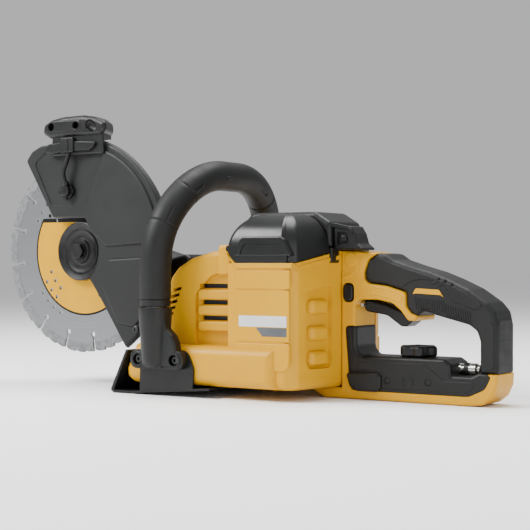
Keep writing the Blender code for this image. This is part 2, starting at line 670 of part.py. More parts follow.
def build_controls():
    """Switch, trigger with its pin, lock-off button, valve and knob, hose coupler."""
    near = MID_Y - HANDLE_HALF
    finish("switch_module", block((344.5, 348), (MID_Y - 9, MID_Y + 9), (-44, -12)), BLACK)
    lever = [(346, -51), (352, -50), (372, -55), (399, -67), (401, -71), (390, -77), (372, -66),
             (347, -62)]
    pivot = (347.5, MID_Y, -56)
    trigger = slab("Y", MID_Y - 12, MID_Y + 12, rounded(lever, 3, 2))
    trigger = finish("trigger", trigger, BLACK, pivot=pivot)
    cut(trigger, disc((pivot[0], 0, pivot[2]), (0, 1, 0), MID_Y - 20, MID_Y + 20, 1.9, steps=12))
    pin = disc((pivot[0], 0, pivot[2]), (0, 1, 0), MID_Y - 17, MID_Y + 17, 1.6, steps=12)
    finish("trigger_pin", pin, STEEL)
    for word, side in SIDES:
        frame = bpy.data.objects["handle_frame_" + word]
        cut(frame, disc((pivot[0], 0, pivot[2]), (0, 1, 0), MID_Y - 17.4, MID_Y + 17.4, 1.9, steps=12))
    button = rounded(rect(328.5, 339.5, -52, -35), 5.4, 4)
    cap = finish("lock_off_button", slab("Y", near - 2.5, near + 12, button), BLACK,
                 pivot=(334, near, -43.5))
    cut(bpy.data.objects["handle_frame_left"], slab("Y", near - 3, near + 16, grown(button, 0.5)))
    soften(cap, 0.8, 1)
    body = disc((402, MID_Y, 0), (0, 0, 1), -144, -112.5, 11, steps=18)
    valve = finish("water_valve_body", body, BRASS)
    cut(valve, disc((402, MID_Y, 0), (0, 0, 1), -122, -100, 4.6, steps=14))
    lobes = []
    for k in range(36):
        angle = 2 * math.pi * k / 36
        radius = 18.3 + 1.7 * math.cos(6 * angle)
        lobes.append((402 + radius * math.cos(angle), MID_Y + radius * math.sin(angle)))
    knob = finish("water_valve_knob", slab("Z", -106.5, -95.5, lobes), BLACK, pivot=(402, MID_Y, -101))
    add(knob, disc((402, MID_Y, 0), (0, 0, 1), -121.5, -104, 4.2, steps=14))
    barrel = [(446.4, 3.4), (446.4, 6.2), (458, 6.2), (458, 7.2), (466, 7.2), (470, 5.4), (470, 3.4)]
    finish("hose_coupler", turned((0, MID_Y, -115.9), (1, 0, 0), barrel, 18, True), BRASS)


# ---------------------------------------------------------------- guard

def guard_front():
    """The guard's front edge, from the rim's top end down to the flange's side."""
    return [(-56, 121), (-78, 105), (-36, 38)]


def rim_arc(radius, steps=30):
    """The guard's round edge, from low to top."""
    return arc(0, 0, radius, GUARD_LOW_DEG, GUARD_TOP_DEG, steps)


def rim_waste(steps=34):
    """What the rounded rim leaves over: a ring that stops short of the front corner."""
    section = [(-14.6, 123.0), (-13.6, 125.6), (-11.6, 127.8), (-9.0, 129.0), (-6.0, 127.4),
               (0.0, 124.2), (8.0, 119.0), (14.8, 98.0), (16.0, 140.0), (-16.0, 140.0)]
    rings = []
    for k in range(steps + 1):
        angle = math.radians(-68 + 175.5 * k / steps)
        rings.append([Vector((r * math.cos(angle), y, r * math.sin(angle))) for y, r in section])
    return skin_rings(rings, False)


def build_guard():
    """Both cast halves, the handle, clamp ring, screws, hose, clip and spray nozzles."""
    near_edge = rim_arc(GUARD_R) + guard_front() + [(9.5, 38.4)]
    near_edge += arc(-13, 0, 44.6, 52, -45, 10) + [(36, -55)]
    near_half = finish("guard_left_half", slab("Y", GUARD_NEAR_Y, -0.15, near_edge), CAST)
    cut(near_half, disc((0, 0, 0), (0, 1, 0), GUARD_NEAR_Y + GUARD_WALL, 1.0, 121.4, steps=64))
    far_edge = rim_arc(GUARD_R) + guard_front() + arc(0, 0, 42, 135, 305, 14)
    far_half = finish("guard_right_half", slab("Y", 0.15, GUARD_FAR_Y, far_edge), CAST)
    hollow = [(-1.0, 121.4), (6.5, 117.0), (GUARD_FAR_Y - GUARD_WALL, 97.0)]
    cut(far_half, turned((0, 0, 0), (0, 1, 0), hollow, 64))
    add(far_half, disc((0, 0, 0), (0, 1, 0), GUARD_FAR_Y - 1.0, 19.0, 31.0, steps=28))
    cut(far_half, disc((0, 0, 0), (0, 1, 0), 5.0, 25.0, BOSS_R + GAP, steps=28))
    for half in (near_half, far_half):
        cut(half, rim_waste())
    ring = disc((0, 0, 0), (0, 1, 0), GUARD_FAR_Y + GAP, 19.2, 35.0, 31.3, 32)
    finish("guard_clamp_ring", ring, STEEL)
    for index, degrees in enumerate((85.0, 12.0, -45.0)):
        x = 121.6 * math.cos(math.radians(degrees))
        z = 121.6 * math.sin(math.radians(degrees))
        for half, limits in ((near_half, (GUARD_NEAR_Y + 0.5, -0.15)), (far_half, (0.15, 9.0))):
            add(half, disc((x, 0, z), (0, 1, 0), *limits, 4.4, steps=12))
            cut(half, disc((x, 0, z), (0, 1, 0), -20, 8, 2.3, steps=10))
        screw = [(-15.8, 3.2), (-14.3, 4.4), (-14.3, 2.0), (7.4, 2.0)]
        finish("guard_screw_%d" % (index + 1), turned((x, 0, z), (0, 1, 0), screw, 10), STEEL)
    build_guard_handle()


def build_guard_handle():
    """The grab handle over the rim, the hose clip, and the water spray."""
    shape = [(-48, 126), (-46, 143), (-38, 151), (30, 152.8), (45, 147), (50, 137), (46, 121),
             (20, 124), (-20, 124)]
    handle = slab("Y", -22.0, 18.0, rounded(shape, 5, 3))
    handle = finish("guard_handle", handle, BLACK)
    cut(handle, disc((0, 0, 0), (0, 1, 0), GUARD_NEAR_Y - GAP - 1.8, 19, GUARD_R + GAP, steps=96))
    for x in (-31, 6):
        cut(handle, disc((x, 0, 141), (0, 1, 0), -23, -8, 4.6, steps=14))
    clip = rounded([(-46, 113), (24, 113), (24, 123.4), (-46, 123.4)], 4, 2)
    clip = finish("hose_clip", slab("Y", -24, GUARD_NEAR_Y - GAP - 1.9, clip), BLACK)
    cut(clip, disc((-9, -19, 0), (0, 0, 1), 108, 119, 3.3, steps=12))
    hose = [Vector((-9, -19, 118)), Vector((-9, -19.4, 108)), Vector((-9.5, -19.8, 98)),
            Vector((-10.5, -19.8, 88)), Vector((-12, -19.4, 74.4))]
    line = bpy.data.curves.new("water_hose", "CURVE")
    line.dimensions = "3D"
    run = line.splines.new("POLY")
    run.points.add(len(hose) - 1)
    for target, point in zip(run.points, hose):
        target.co = (*(point * MM), 1.0)
    line.bevel_depth = 2.5 * MM
    line.bevel_resolution = 2
    line.resolution_u = 12
    line.render_resolution_u = 0
    line.use_fill_caps = True
    line.materials.append(paint("water_hose", *RUBBER))
    hose_object = bpy.data.objects.new("water_hose", line)
    hose_object.parent = ROOT
    bpy.context.scene.collection.objects.link(hose_object)
    for word, low, high in (("left", -23.0, GUARD_NEAR_Y - GAP),
                            ("right", GUARD_FAR_Y + GAP, 19.0)):
        nozzle = rounded(rect(-19, -5, 64, 74), 3, 2)
        finish("spray_nozzle_" + word, slab("Y", low, high, nozzle), BLACK)


build_blade()
build_gear_case()
build_motor()
build_casing()
build_top()
build_front()
build_rear_handle()
build_guard()
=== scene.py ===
"""Looks of a battery rescue saw: 230 mm blade, swinging guard, hoop handle, rear handle.

Shapes are drawn in millimetres from the blade's centre: +X back to the rear handle, +Y away
from the blade's outer face, +Z up. Each finished piece is moved once, into the CAD frame.
"""
import math

import bmesh
import bpy
from mathutils import Euler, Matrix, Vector


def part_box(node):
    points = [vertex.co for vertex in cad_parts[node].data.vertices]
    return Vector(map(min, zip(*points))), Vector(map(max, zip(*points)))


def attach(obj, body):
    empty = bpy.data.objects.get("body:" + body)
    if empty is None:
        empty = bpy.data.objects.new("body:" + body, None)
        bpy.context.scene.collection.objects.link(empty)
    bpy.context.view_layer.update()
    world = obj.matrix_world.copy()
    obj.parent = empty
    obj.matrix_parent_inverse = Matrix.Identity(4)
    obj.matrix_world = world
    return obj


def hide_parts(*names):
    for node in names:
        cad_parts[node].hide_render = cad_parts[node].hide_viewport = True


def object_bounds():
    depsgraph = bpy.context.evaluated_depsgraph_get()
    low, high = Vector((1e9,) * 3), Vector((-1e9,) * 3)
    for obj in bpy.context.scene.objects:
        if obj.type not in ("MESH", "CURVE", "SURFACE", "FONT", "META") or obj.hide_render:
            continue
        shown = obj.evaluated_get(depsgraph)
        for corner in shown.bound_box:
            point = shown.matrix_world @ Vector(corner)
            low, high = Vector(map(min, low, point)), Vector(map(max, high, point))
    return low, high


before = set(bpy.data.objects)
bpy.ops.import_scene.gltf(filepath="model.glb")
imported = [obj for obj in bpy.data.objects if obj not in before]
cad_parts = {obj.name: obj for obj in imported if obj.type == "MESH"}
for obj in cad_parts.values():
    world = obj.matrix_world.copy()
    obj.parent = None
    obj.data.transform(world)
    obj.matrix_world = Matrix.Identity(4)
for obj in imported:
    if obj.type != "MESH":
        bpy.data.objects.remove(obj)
CAD_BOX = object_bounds()

MM = 0.001


def as_mm(point):
    """A frame point in millimetres from the blade's centre."""
    return (Vector(point) - HOME) / MM


def node_box(node):
    """A CAD node's lowest and highest corners, in millimetres from the blade's centre."""
    low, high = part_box(node)
    return as_mm(low), as_mm(high)


HOME = (Vector(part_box("diamond_blade")[0]) + Vector(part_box("diamond_blade")[1])) / 2

# Places read from the frame
BLADE_R = node_box("diamond_blade")[1].x
LABEL_R = node_box("blade_label")[1].x
GUARD_NEAR = node_box("guard_left_half")[0].y
GUARD_DEPTH = 28.5
GUARD_FAR = GUARD_NEAR + GUARD_DEPTH
GROUND = as_mm(CAD_BOX[0]).z
MID_Y = (node_box("rear_grip")[0].y + node_box("rear_grip")[1].y) / 2
GRIP_NEAR = node_box("rear_grip")[0].y
REAR_X = node_box("rear_grip")[1].x
TUB_NEAR = node_box("housing_left")[0].y
TUB_LOW = node_box("housing_left")[0].z
# The hoop grip's radius is drawn: its box is wider, because the hoop leans back
HOOP_R = 16.2
HOOP_X = node_box("front_handle_grip")[0].x + HOOP_R
HOOP_HALF = node_box("front_handle_grip")[1].y - MID_Y - HOOP_R
HOOP_TOP = node_box("front_handle_grip")[1].z - HOOP_R
HOOP_LOW = node_box("front_handle_grip")[0].z

# Drawn sizes: the hoop's bend and lean, the casing's faces and vents, the feet's screws, the studs
HOOP_BEND = 90.0
HOOP_LEAN = 20.0
BOX_NEAR = -50.0
MOTOR_NEAR = -38.0
BOX_TOP = -14.0
SEAM = MID_Y - 0.1
SLOTS_Z = (-37.2, -54.0, -70.3)
SLANTED_VENTS = 6
FOOT_SCREWS_X = (133.0, 180.0)
FOOT_SCREWS_Z = -113.0
STUDS_X = (379.0, 423.5)
STUDS_Z = -130.0
SIDES = (("left", -1), ("right", 1))


# ---------------------------------------------------------------- outlines

def arc(cx, cy, radius, start_deg, end_deg, steps):
    """Points along an arc, both ends included."""
    points = []
    for i in range(steps + 1):
        angle = math.radians(start_deg + (end_deg - start_deg) * i / steps)
        points.append((cx + radius * math.cos(angle), cy + radius * math.sin(angle)))
    return points


def circle(cx, cy, radius, steps=32):
    """A closed ring of points."""
    return arc(cx, cy, radius, 0.0, 360.0 * (steps - 1) / steps, steps - 1)


def rect(a0, a1, b0, b1):
    """A rectangle's four corners."""
    return [(a0, b0), (a1, b0), (a1, b1), (a0, b1)]


class Outline(list):
    """A rounded outline that keeps its corners, so it can be drawn again larger or smaller."""

    def __init__(self, points, corners, radii, steps):
        super().__init__(points)
        self.corners = corners
        self.radii = radii
        self.steps = steps


def turn_sense(points):
    """1 for an outline that runs anticlockwise, -1 for clockwise."""
    area = sum(p[0] * q[1] - q[0] * p[1] for p, q in zip(points, points[1:] + points[:1]))
    return 1.0 if area > 0 else -1.0


def rounded(points, radius, steps=5):
    """The outline with each corner turned into a curve, as far as its sides allow."""
    result = []
    points = [tuple(point) for point in points]
    count = len(points)
    radii = list(radius) if isinstance(radius, (list, tuple)) else [radius] * count
    for i, point in enumerate(points):
        here = Vector(point)
        back = Vector(points[i - 1]) - here
        ahead = Vector(points[(i + 1) % count]) - here
        half = back.angle(ahead) / 2
        if radii[i] <= 0:
            result.append(point)
            continue
        reach = min(radii[i] / math.tan(half), 0.48 * min(back.length, ahead.length))
        start = here + back.normalized() * reach
        end = here + ahead.normalized() * reach
        for k in range(steps + 1):
            t = k / steps
            mix = start * (1 - t) ** 2 + here * 2 * t * (1 - t) + end * t ** 2
            result.append((mix.x, mix.y))
    return Outline(result, points, radii, steps)


def moved_sides(points, distance):
    """The outline with every side moved outwards by the same distance."""
    side = turn_sense(points)
    result = []
    count = len(points)
    for i, point in enumerate(points):
        before = (Vector(point) - Vector(points[i - 1])).normalized()
        after = (Vector(points[(i + 1) % count]) - Vector(point)).normalized()
        normal_a = Vector((before.y, -before.x)) * side
        normal_b = Vector((after.y, -after.x)) * side
        mean = (normal_a + normal_b).normalized()
        reach = distance / max(0.35, mean.dot(normal_a))
        result.append((point[0] + mean.x * reach, point[1] + mean.y * reach))
    return result


def grown(points, distance):
    """The outline moved outwards; a negative distance moves it inwards."""
    if not isinstance(points, Outline):
        return moved_sides(list(points), distance)
    corners = points.corners
    side = turn_sense(corners)
    radii = []
    for i, here in enumerate(corners):
        back = corners[i - 1]
        ahead = corners[(i + 1) % len(corners)]
        bend = (here[0] - back[0]) * (ahead[1] - here[1]) - (here[1] - back[1]) * (ahead[0] - here[0])
        change = distance if bend * side > 0 else -distance
        radii.append(max(points.radii[i] + change, 0.15) if points.radii[i] > 0 else 0.0)
    return rounded(moved_sides(corners, distance), radii, points.steps)


# ---------------------------------------------------------------- solids

def lift(plane, point, height):
    """An outline's point in space: the plane's letter is the direction it is pulled in."""
    if plane == "Y":
        return Vector((point[0], height, point[1]))
    if plane == "Z":
        return Vector((point[0], point[1], height))
    return Vector((height, point[0], point[1]))


def skin_rings(rings, closed_loop=False):
    """Join rings of equal length into a closed surface."""
    bm = bmesh.new()
    rows = [[bm.verts.new(point) for point in ring] for ring in rings]
    pairs = list(zip(rows, rows[1:]))
    if closed_loop:
        pairs.append((rows[-1], rows[0]))
    for first, second in pairs:
        for i in range(len(first)):
            j = (i + 1) % len(first)
            bm.faces.new((first[i], first[j], second[j], second[i]))
    if not closed_loop:
        bm.faces.new(rows[0])
        bm.faces.new(rows[-1])
    bmesh.ops.recalc_face_normals(bm, faces=bm.faces[:])
    return bm


def slab(plane, low, high, *loops):
    """A flat piece: an outline and its holes, pulled from low to high."""
    bm = bmesh.new()
    edges = []
    for loop in loops:
        ring = [bm.verts.new(lift(plane, point, low)) for point in loop]
        for i, vert in enumerate(ring):
            edges.append(bm.edges.new((vert, ring[(i + 1) % len(ring)])))
    bmesh.ops.triangle_fill(bm, use_beauty=True, edges=edges)
    pulled = bmesh.ops.extrude_face_region(bm, geom=bm.faces[:])
    tops = [item for item in pulled["geom"] if isinstance(item, bmesh.types.BMVert)]
    bmesh.ops.translate(bm, verts=tops, vec=lift(plane, (0.0, 0.0), high - low))
    bmesh.ops.recalc_face_normals(bm, faces=bm.faces[:])
    return bm


def moulded(plane, low, high, outline, low_r=0.0, high_r=0.0, steps=4):
    """A pulled outline whose rims are rounded, as a moulding's or a casting's are."""
    rings = []
    for i in range(steps + 1 if low_r else 1):
        turn = math.pi / 2 * i / steps
        inset = low_r * (1 - math.sin(turn))
        shape = grown(outline, -inset) if inset > 1e-6 else outline
        height = low + low_r * (1 - math.cos(turn))
        rings.append([lift(plane, point, height) for point in shape])
    for i in range(steps + 1 if high_r else 1):
        turn = math.pi / 2 * (1 - i / steps) if high_r else math.pi / 2
        inset = high_r * (1 - math.sin(turn))
        shape = grown(outline, -inset) if inset > 1e-6 else outline
        height = high - high_r * (1 - math.cos(turn)) if high_r else high
        rings.append([lift(plane, point, height) for point in shape])
    return skin_rings(rings)


def turned(origin, direction, profile, steps=64, bored=False):
    """A turned piece: profile points are (distance along the axis, radius)."""
    axis = Vector(direction).normalized()
    side = axis.orthogonal().normalized()
    other = axis.cross(side)
    rings = []
    for along, radius in profile:
        ring = []
        for i in range(steps):
            angle = 2 * math.pi * i / steps
            spoke = side * math.cos(angle) + other * math.sin(angle)
            ring.append(Vector(origin) + axis * along + spoke * radius)
        rings.append(ring)
    return skin_rings(rings, bored)


def swept(path, radii, steps=28, flatten=1.0):
    """A bar of changing thickness along a path; flatten squeezes it sideways."""
    rings = []
    side = None
    for i, point in enumerate(path):
        before = path[max(i - 1, 0)]
        after = path[min(i + 1, len(path) - 1)]
        along = (after - before).normalized()
        if side is None:
            side = along.orthogonal().normalized()
        side = (side - along * side.dot(along)).normalized()
        other = along.cross(side)
        radius = radii[i] if isinstance(radii, list) else radii
        ring = []
        for k in range(steps):
            angle = 2 * math.pi * k / steps
            spoke = side * math.cos(angle) * flatten + other * math.sin(angle)
            ring.append(point + spoke * radius)
        rings.append(ring)
    return skin_rings(rings)


def pill(start, end, radius, flatten=1.0, steps=24):
    """A bar with round ends."""
    start = Vector(start)
    end = Vector(end)
    along = (end - start).normalized()
    path = []
    radii = []
    for i in range(7):
        turn = math.pi / 2 * i / 6
        path.append(start - along * radius * math.cos(turn) * flatten)
        radii.append(max(0.02, radius * math.sin(turn)))
    for i in range(7):
        turn = math.pi / 2 * i / 6
        path.append(end + along * radius * math.sin(turn) * flatten)
        radii.append(max(0.02, radius * math.cos(turn)))
    return swept(path, radii, steps)


def smooth_path(points, per_span=6):
    """A smooth curve through given points."""
    points = [Vector(point) for point in points]
    ends = [points[0] * 2 - points[1]] + points + [points[-1] * 2 - points[-2]]
    result = []
    for a, b, c, d in zip(ends, ends[1:], ends[2:], ends[3:]):
        for k in range(per_span):
            t = k / per_span
            result.append(0.5 * (2 * b + (c - a) * t + (2 * a - 5 * b + 4 * c - d) * t * t
                                 + (3 * b - a - 3 * c + d) * t ** 3))
    result.append(points[-1])
    return result


def loose_object(name, bm):
    """A plain object from a bmesh, in its own units."""
    mesh = bpy.data.meshes.new(name)
    bm.to_mesh(mesh)
    bm.free()
    item = bpy.data.objects.new(name, mesh)
    bpy.context.scene.collection.objects.link(item)
    return item


def as_evaluated(item):
    """The item's evaluated mesh as a bmesh; the item goes."""
    ready = item.evaluated_get(bpy.context.evaluated_depsgraph_get())
    mesh = bpy.data.meshes.new_from_object(ready)
    bm = bmesh.new()
    bm.from_mesh(mesh)
    bpy.data.meshes.remove(mesh)
    bpy.data.objects.remove(item, do_unlink=True)
    return bm


def combined(base, tools, operation):
    """The base with each tool solid cut away or welded on."""
    item = loose_object("blank", base)
    helpers = []
    for bm in tools:
        helper = loose_object("tool", bm)
        change = item.modifiers.new("step", "BOOLEAN")
        change.operation = operation
        change.solver = "EXACT"
        change.object = helper
        helpers.append(helper)
    result = as_evaluated(item)
    for helper in helpers:
        bpy.data.objects.remove(helper, do_unlink=True)
    return result


def cut(base, *tools):
    """The base with the tools' shapes cut away."""
    return combined(base, tools, "DIFFERENCE")


def weld(base, *tools):
    """The base and the tools as one skin."""
    return combined(base, tools, "UNION")


def gathered(*parts):
    """Several closed shells as one mesh."""
    bm = bmesh.new()
    for part in parts:
        mesh = bpy.data.meshes.new("part")
        part.to_mesh(mesh)
        part.free()
        bm.from_mesh(mesh)
        bpy.data.meshes.remove(mesh)
    return bm


def make(name, bm, look, body, nodes=(), sharp_deg=32.0, slot=None):
    """Put a finished shape into the frame, give it its material and let it ride.

    The slot argument is not used: the slot looked up from the material is worked out but not given to the
    piece.
    """
    bmesh.ops.scale(bm, verts=bm.verts[:], vec=(MM, MM, MM))
    bmesh.ops.translate(bm, verts=bm.verts[:], vec=HOME)
    piece = loose_object(name, bm)
    mesh = piece.data
    mesh.shade_smooth()
    mesh.set_sharp_from_angle(angle=math.radians(sharp_deg))
    shade = piece.modifiers.new("even_shading", "WEIGHTED_NORMAL")
    shade.keep_sharp = True
    shade.weight = 60
    mesh.materials.clear()
    mesh.materials.append(look)
    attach(piece, body)
    if nodes:
        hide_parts(*nodes)
    slot = slot or SLOT_OF.get(look)
    return piece


# ---------------------------------------------------------------- repeated features

def socket_id(tree, name):
    """The identifier of a tree's named input."""
    for item in tree.interface.items_tree:
        if item.item_type == "SOCKET" and item.in_out == "INPUT" and item.name == name:
            return item.identifier
    raise KeyError(name)


def repeat_tree():
    """Copies of a seed shape, each moved and turned about Y by one more step."""
    tree = bpy.data.node_groups.new("repeat_feature", "GeometryNodeTree")
    face = tree.interface
    face.new_socket("Geometry", in_out="INPUT", socket_type="NodeSocketGeometry")
    face.new_socket("Count", in_out="INPUT", socket_type="NodeSocketInt")
    face.new_socket("Move", in_out="INPUT", socket_type="NodeSocketVector")
    face.new_socket("Turn", in_out="INPUT", socket_type="NodeSocketFloat")
    face.new_socket("Finish", in_out="INPUT", socket_type="NodeSocketMaterial")
    face.new_socket("Geometry", in_out="OUTPUT", socket_type="NodeSocketGeometry")
    gate = tree.nodes.new("NodeGroupInput")
    out = tree.nodes.new("NodeGroupOutput")
    line = tree.nodes.new("GeometryNodeMeshLine")
    line.mode = "OFFSET"
    order = tree.nodes.new("GeometryNodeInputIndex")
    angle = tree.nodes.new("ShaderNodeMath")
    angle.operation = "MULTIPLY"
    turn = tree.nodes.new("ShaderNodeCombineXYZ")
    place = tree.nodes.new("GeometryNodeInstanceOnPoints")
    real = tree.nodes.new("GeometryNodeRealizeInstances")
    paint = tree.nodes.new("GeometryNodeSetMaterial")
    join = tree.links.new
    join(gate.outputs["Count"], line.inputs["Count"])
    join(gate.outputs["Move"], line.inputs["Offset"])
    join(line.outputs["Mesh"], place.inputs["Points"])
    join(gate.outputs["Geometry"], place.inputs["Instance"])
    join(order.outputs["Index"], angle.inputs[0])
    join(gate.outputs["Turn"], angle.inputs[1])
    join(angle.outputs["Value"], turn.inputs["Y"])
    join(turn.outputs["Vector"], place.inputs["Rotation"])
    join(place.outputs["Instances"], real.inputs["Geometry"])
    join(real.outputs["Geometry"], paint.inputs["Geometry"])
    join(gate.outputs["Finish"], paint.inputs["Material"])
    join(paint.outputs["Geometry"], out.inputs["Geometry"])
    return tree


REPEAT = repeat_tree()


def repeated(seed, count, look, move=(0, 0, 0), turn=0.0):
    """A row or a ring of copies of a seed shape, made real."""
    item = loose_object("seed", seed)
    grow = item.modifiers.new("repeat", "NODES")
    grow.node_group = REPEAT
    grow[socket_id(REPEAT, "Count")] = count
    grow[socket_id(REPEAT, "Move")] = Vector(move)
    grow[socket_id(REPEAT, "Turn")] = turn
    grow[socket_id(REPEAT, "Finish")] = look
    return as_evaluated(item)


# ---------------------------------------------------------------- materials

def from_hex(code):
    """An sRGB hex colour as linear RGBA."""
    channels = []
    for i in (0, 2, 4):
        value = int(code[i:i + 2], 16) / 255
        channels.append(value / 12.92 if value <= 0.04045 else ((value + 0.055) / 1.055) ** 2.4)
    return (*channels, 1.0)


def add_node(tree, kind, settings=None, inputs=None):
    """Add a node with its settings; an input is a number, a colour or another node's output."""
    node = tree.nodes.new(kind)
    for key, value in (settings or {}).items():
        setattr(node, key, value)
    for key, value in (inputs or {}).items():
        if isinstance(value, bpy.types.NodeSocket):
            tree.links.new(value, node.inputs[key])
        else:
            node.inputs[key].default_value = value
    return node


def start_material(name, metallic, roughness, **extra):
    """A material with its Principled shader set up and Object coordinates ready."""
    mat = bpy.data.materials.new(name)
    mat.use_nodes = True
    tree = mat.node_tree
    shader = tree.nodes["Principled BSDF"]
    shader.inputs["Metallic"].default_value = metallic
    shader.inputs["Roughness"].default_value = roughness
    for key, value in extra.items():
        shader.inputs[key.replace("_", " ")].default_value = value
    coords = tree.nodes.new("ShaderNodeTexCoord").outputs["Object"]
    return mat, tree, shader, coords


def tinted(tree, coords, shader, low, high, patch_mm):
    """Slow colour drift between two close shades."""
    drift = add_node(tree, "ShaderNodeTexNoise", None, {"Vector": coords, "Scale": 1 / (patch_mm * MM),
            "Detail": 3.0})
    ramp = add_node(tree, "ShaderNodeValToRGB", None, {"Fac": drift.outputs["Fac"]})
    ramp.color_ramp.elements[0].position = 0.35
    ramp.color_ramp.elements[0].color = from_hex(low)
    ramp.color_ramp.elements[1].position = 0.65
    ramp.color_ramp.elements[1].color = from_hex(high)
    tree.links.new(ramp.outputs["Color"], shader.inputs["Base Color"])
    return ramp


def grained(tree, coords, shader, grain_mm, depth_mm, rough_low, rough_high):
    """Fine surface grain in the bump and a slow drift in the gloss."""
    grain = add_node(tree, "ShaderNodeTexNoise", None, {"Vector": coords, "Scale": 1 / (grain_mm * MM),
            "Detail": 2.0})
    bump = add_node(tree, "ShaderNodeBump", None, {"Height": grain.outputs["Fac"],
            "Distance": depth_mm * MM, "Strength": 0.6})
    tree.links.new(bump.outputs["Normal"], shader.inputs["Normal"])
    smear = add_node(tree, "ShaderNodeTexNoise", None, {"Vector": coords, "Scale": 1 / (22 * MM),
            "Detail": 4.0})
    gloss = add_node(tree, "ShaderNodeMapRange", None, {"Value": smear.outputs["Fac"], "From Min": 0.3,
            "From Max": 0.7, "To Min": rough_low, "To Max": rough_high})
    tree.links.new(gloss.outputs["Result"], shader.inputs["Roughness"])
    return bump


def plastic(name, roughness, sheen, ior, shades, patch_mm, grain, gloss):
    """A moulded or coated surface: shades drift over patch_mm, grain is (size, depth) in mm."""
    mat, tree, shader, coords = start_material(name, 0.0, roughness, Specular_IOR_Level=sheen, IOR=ior)
    tinted(tree, coords, shader, *shades, patch_mm)
    grained(tree, coords, shader, *grain, *gloss)
    return mat


def blade_steel():
    """Tool steel disc, ground in circles: light grey with fine rings."""
    mat, tree, shader, coords = start_material("tool_steel_ground", 1.0, 0.42)
    centred = add_node(tree, "ShaderNodeVectorMath", {"operation": "SUBTRACT"},
            {0: coords, 1: tuple(HOME)})
    flat = add_node(tree, "ShaderNodeVectorMath", {"operation": "MULTIPLY"}, {0: centred.outputs[0],
            1: (1.0, 0.0, 1.0)})
    radius = add_node(tree, "ShaderNodeVectorMath", {"operation": "LENGTH"}, {0: flat.outputs[0]})
    rings = add_node(tree, "ShaderNodeTexNoise", {"noise_dimensions": "1D"}, {"W": radius.outputs["Value"],
            "Scale": 1 / (1.2 * MM), "Detail": 3.0})
    shade = add_node(tree, "ShaderNodeValToRGB", None, {"Fac": rings.outputs["Fac"]})
    shade.color_ramp.elements[0].color = from_hex("7E8082")
    shade.color_ramp.elements[1].color = from_hex("929496")
    tree.links.new(shade.outputs["Color"], shader.inputs["Base Color"])
    bump = add_node(tree, "ShaderNodeBump", None, {"Height": rings.outputs["Fac"], "Distance": 0.01 * MM,
            "Strength": 0.5})
    tree.links.new(bump.outputs["Normal"], shader.inputs["Normal"])
    return mat


def diamond_bond():
    """Sintered metal bond with diamond grit: rougher and a touch darker than the disc."""
    mat, tree, shader, coords = start_material("bronze_bond_sintered_diamond", 0.85, 0.55)
    tinted(tree, coords, shader, "747678", "8A8C8D", 4)
    grained(tree, coords, shader, 0.8, 0.08, 0.5, 0.65)
    return mat


def printed_film(name, code, low, high):
    """Printed polyester film under clear varnish: flat colour with an even low gloss."""
    mat, tree, shader, coords = start_material(name, 0.0, 0.35, Specular_IOR_Level=0.24, IOR=1.5)
    tinted(tree, coords, shader, low, high, 25)
    grained(tree, coords, shader, 3.0, 0.004, 0.3, 0.4)
    mat.diffuse_color = from_hex(code)
    return mat


def black_oxide():
    """Turned steel, black oxide: dark metal whose dished faces catch the light."""
    mat, tree, shader, coords = start_material("steel_turned_black_oxide", 0.6, 0.38)
    tinted(tree, coords, shader, "1C1C1D", "262627", 8)
    grained(tree, coords, shader, 0.8, 0.01, 0.32, 0.44)
    return mat


def bare_metal(name, low, high, rough_low, rough_high, grain_mm=1.0):
    """Machined metal with a fine tooling grain."""
    mat, tree, shader, coords = start_material(name, 1.0, rough_low)
    tinted(tree, coords, shader, low, high, 9)
    grained(tree, coords, shader, grain_mm, 0.01, rough_low, rough_high)
    return mat


def studio_floor():
    """A pale seamless floor."""
    mat, tree, shader, coords = start_material("studio_paper_floor", 0.0, 0.9, IOR=1.45)
    tinted(tree, coords, shader, "FCFCFC", "FEFEFE", 400)
    return mat


# Glass-filled nylon from a lightly textured tool: satin, with a soft sheen
YELLOW = plastic("glass_nylon_yellow_moulded", 0.42, 0.24, 1.5, ("C79000", "CB9500"), 60, (0.9, 0.02),
        (0.38, 0.47))
# The same nylon in black: charcoal with a broad soft highlight
BLACK = plastic("glass_nylon_black_moulded", 0.45, 0.3, 1.5, ("0E0F0F", "121313"), 50, (0.9, 0.02),
        (0.4, 0.5))
# ABS and polycarbonate blend from a finer tool: the dome's clearer highlight
DOME = plastic("abs_pc_black_fine_moulded", 0.33, 0.3, 1.52, ("101111", "141515"), 60, (0.8, 0.012),
        (0.28, 0.36))
# Thermoplastic elastomer, overmoulded: matt black that scatters light at its grain
GRIP = plastic("elastomer_black_overmoulded", 0.6, 0.3, 1.5, ("0D0E0E", "121313"), 35, (0.9, 0.05),
        (0.52, 0.64))
# Cast magnesium under black powder coat: fine orange peel, dull satin
COAT = plastic("magnesium_cast_powder_coated", 0.5, 0.3, 1.5, ("191A1A", "1E1F1F"), 70, (1.3, 0.05),
        (0.45, 0.56))
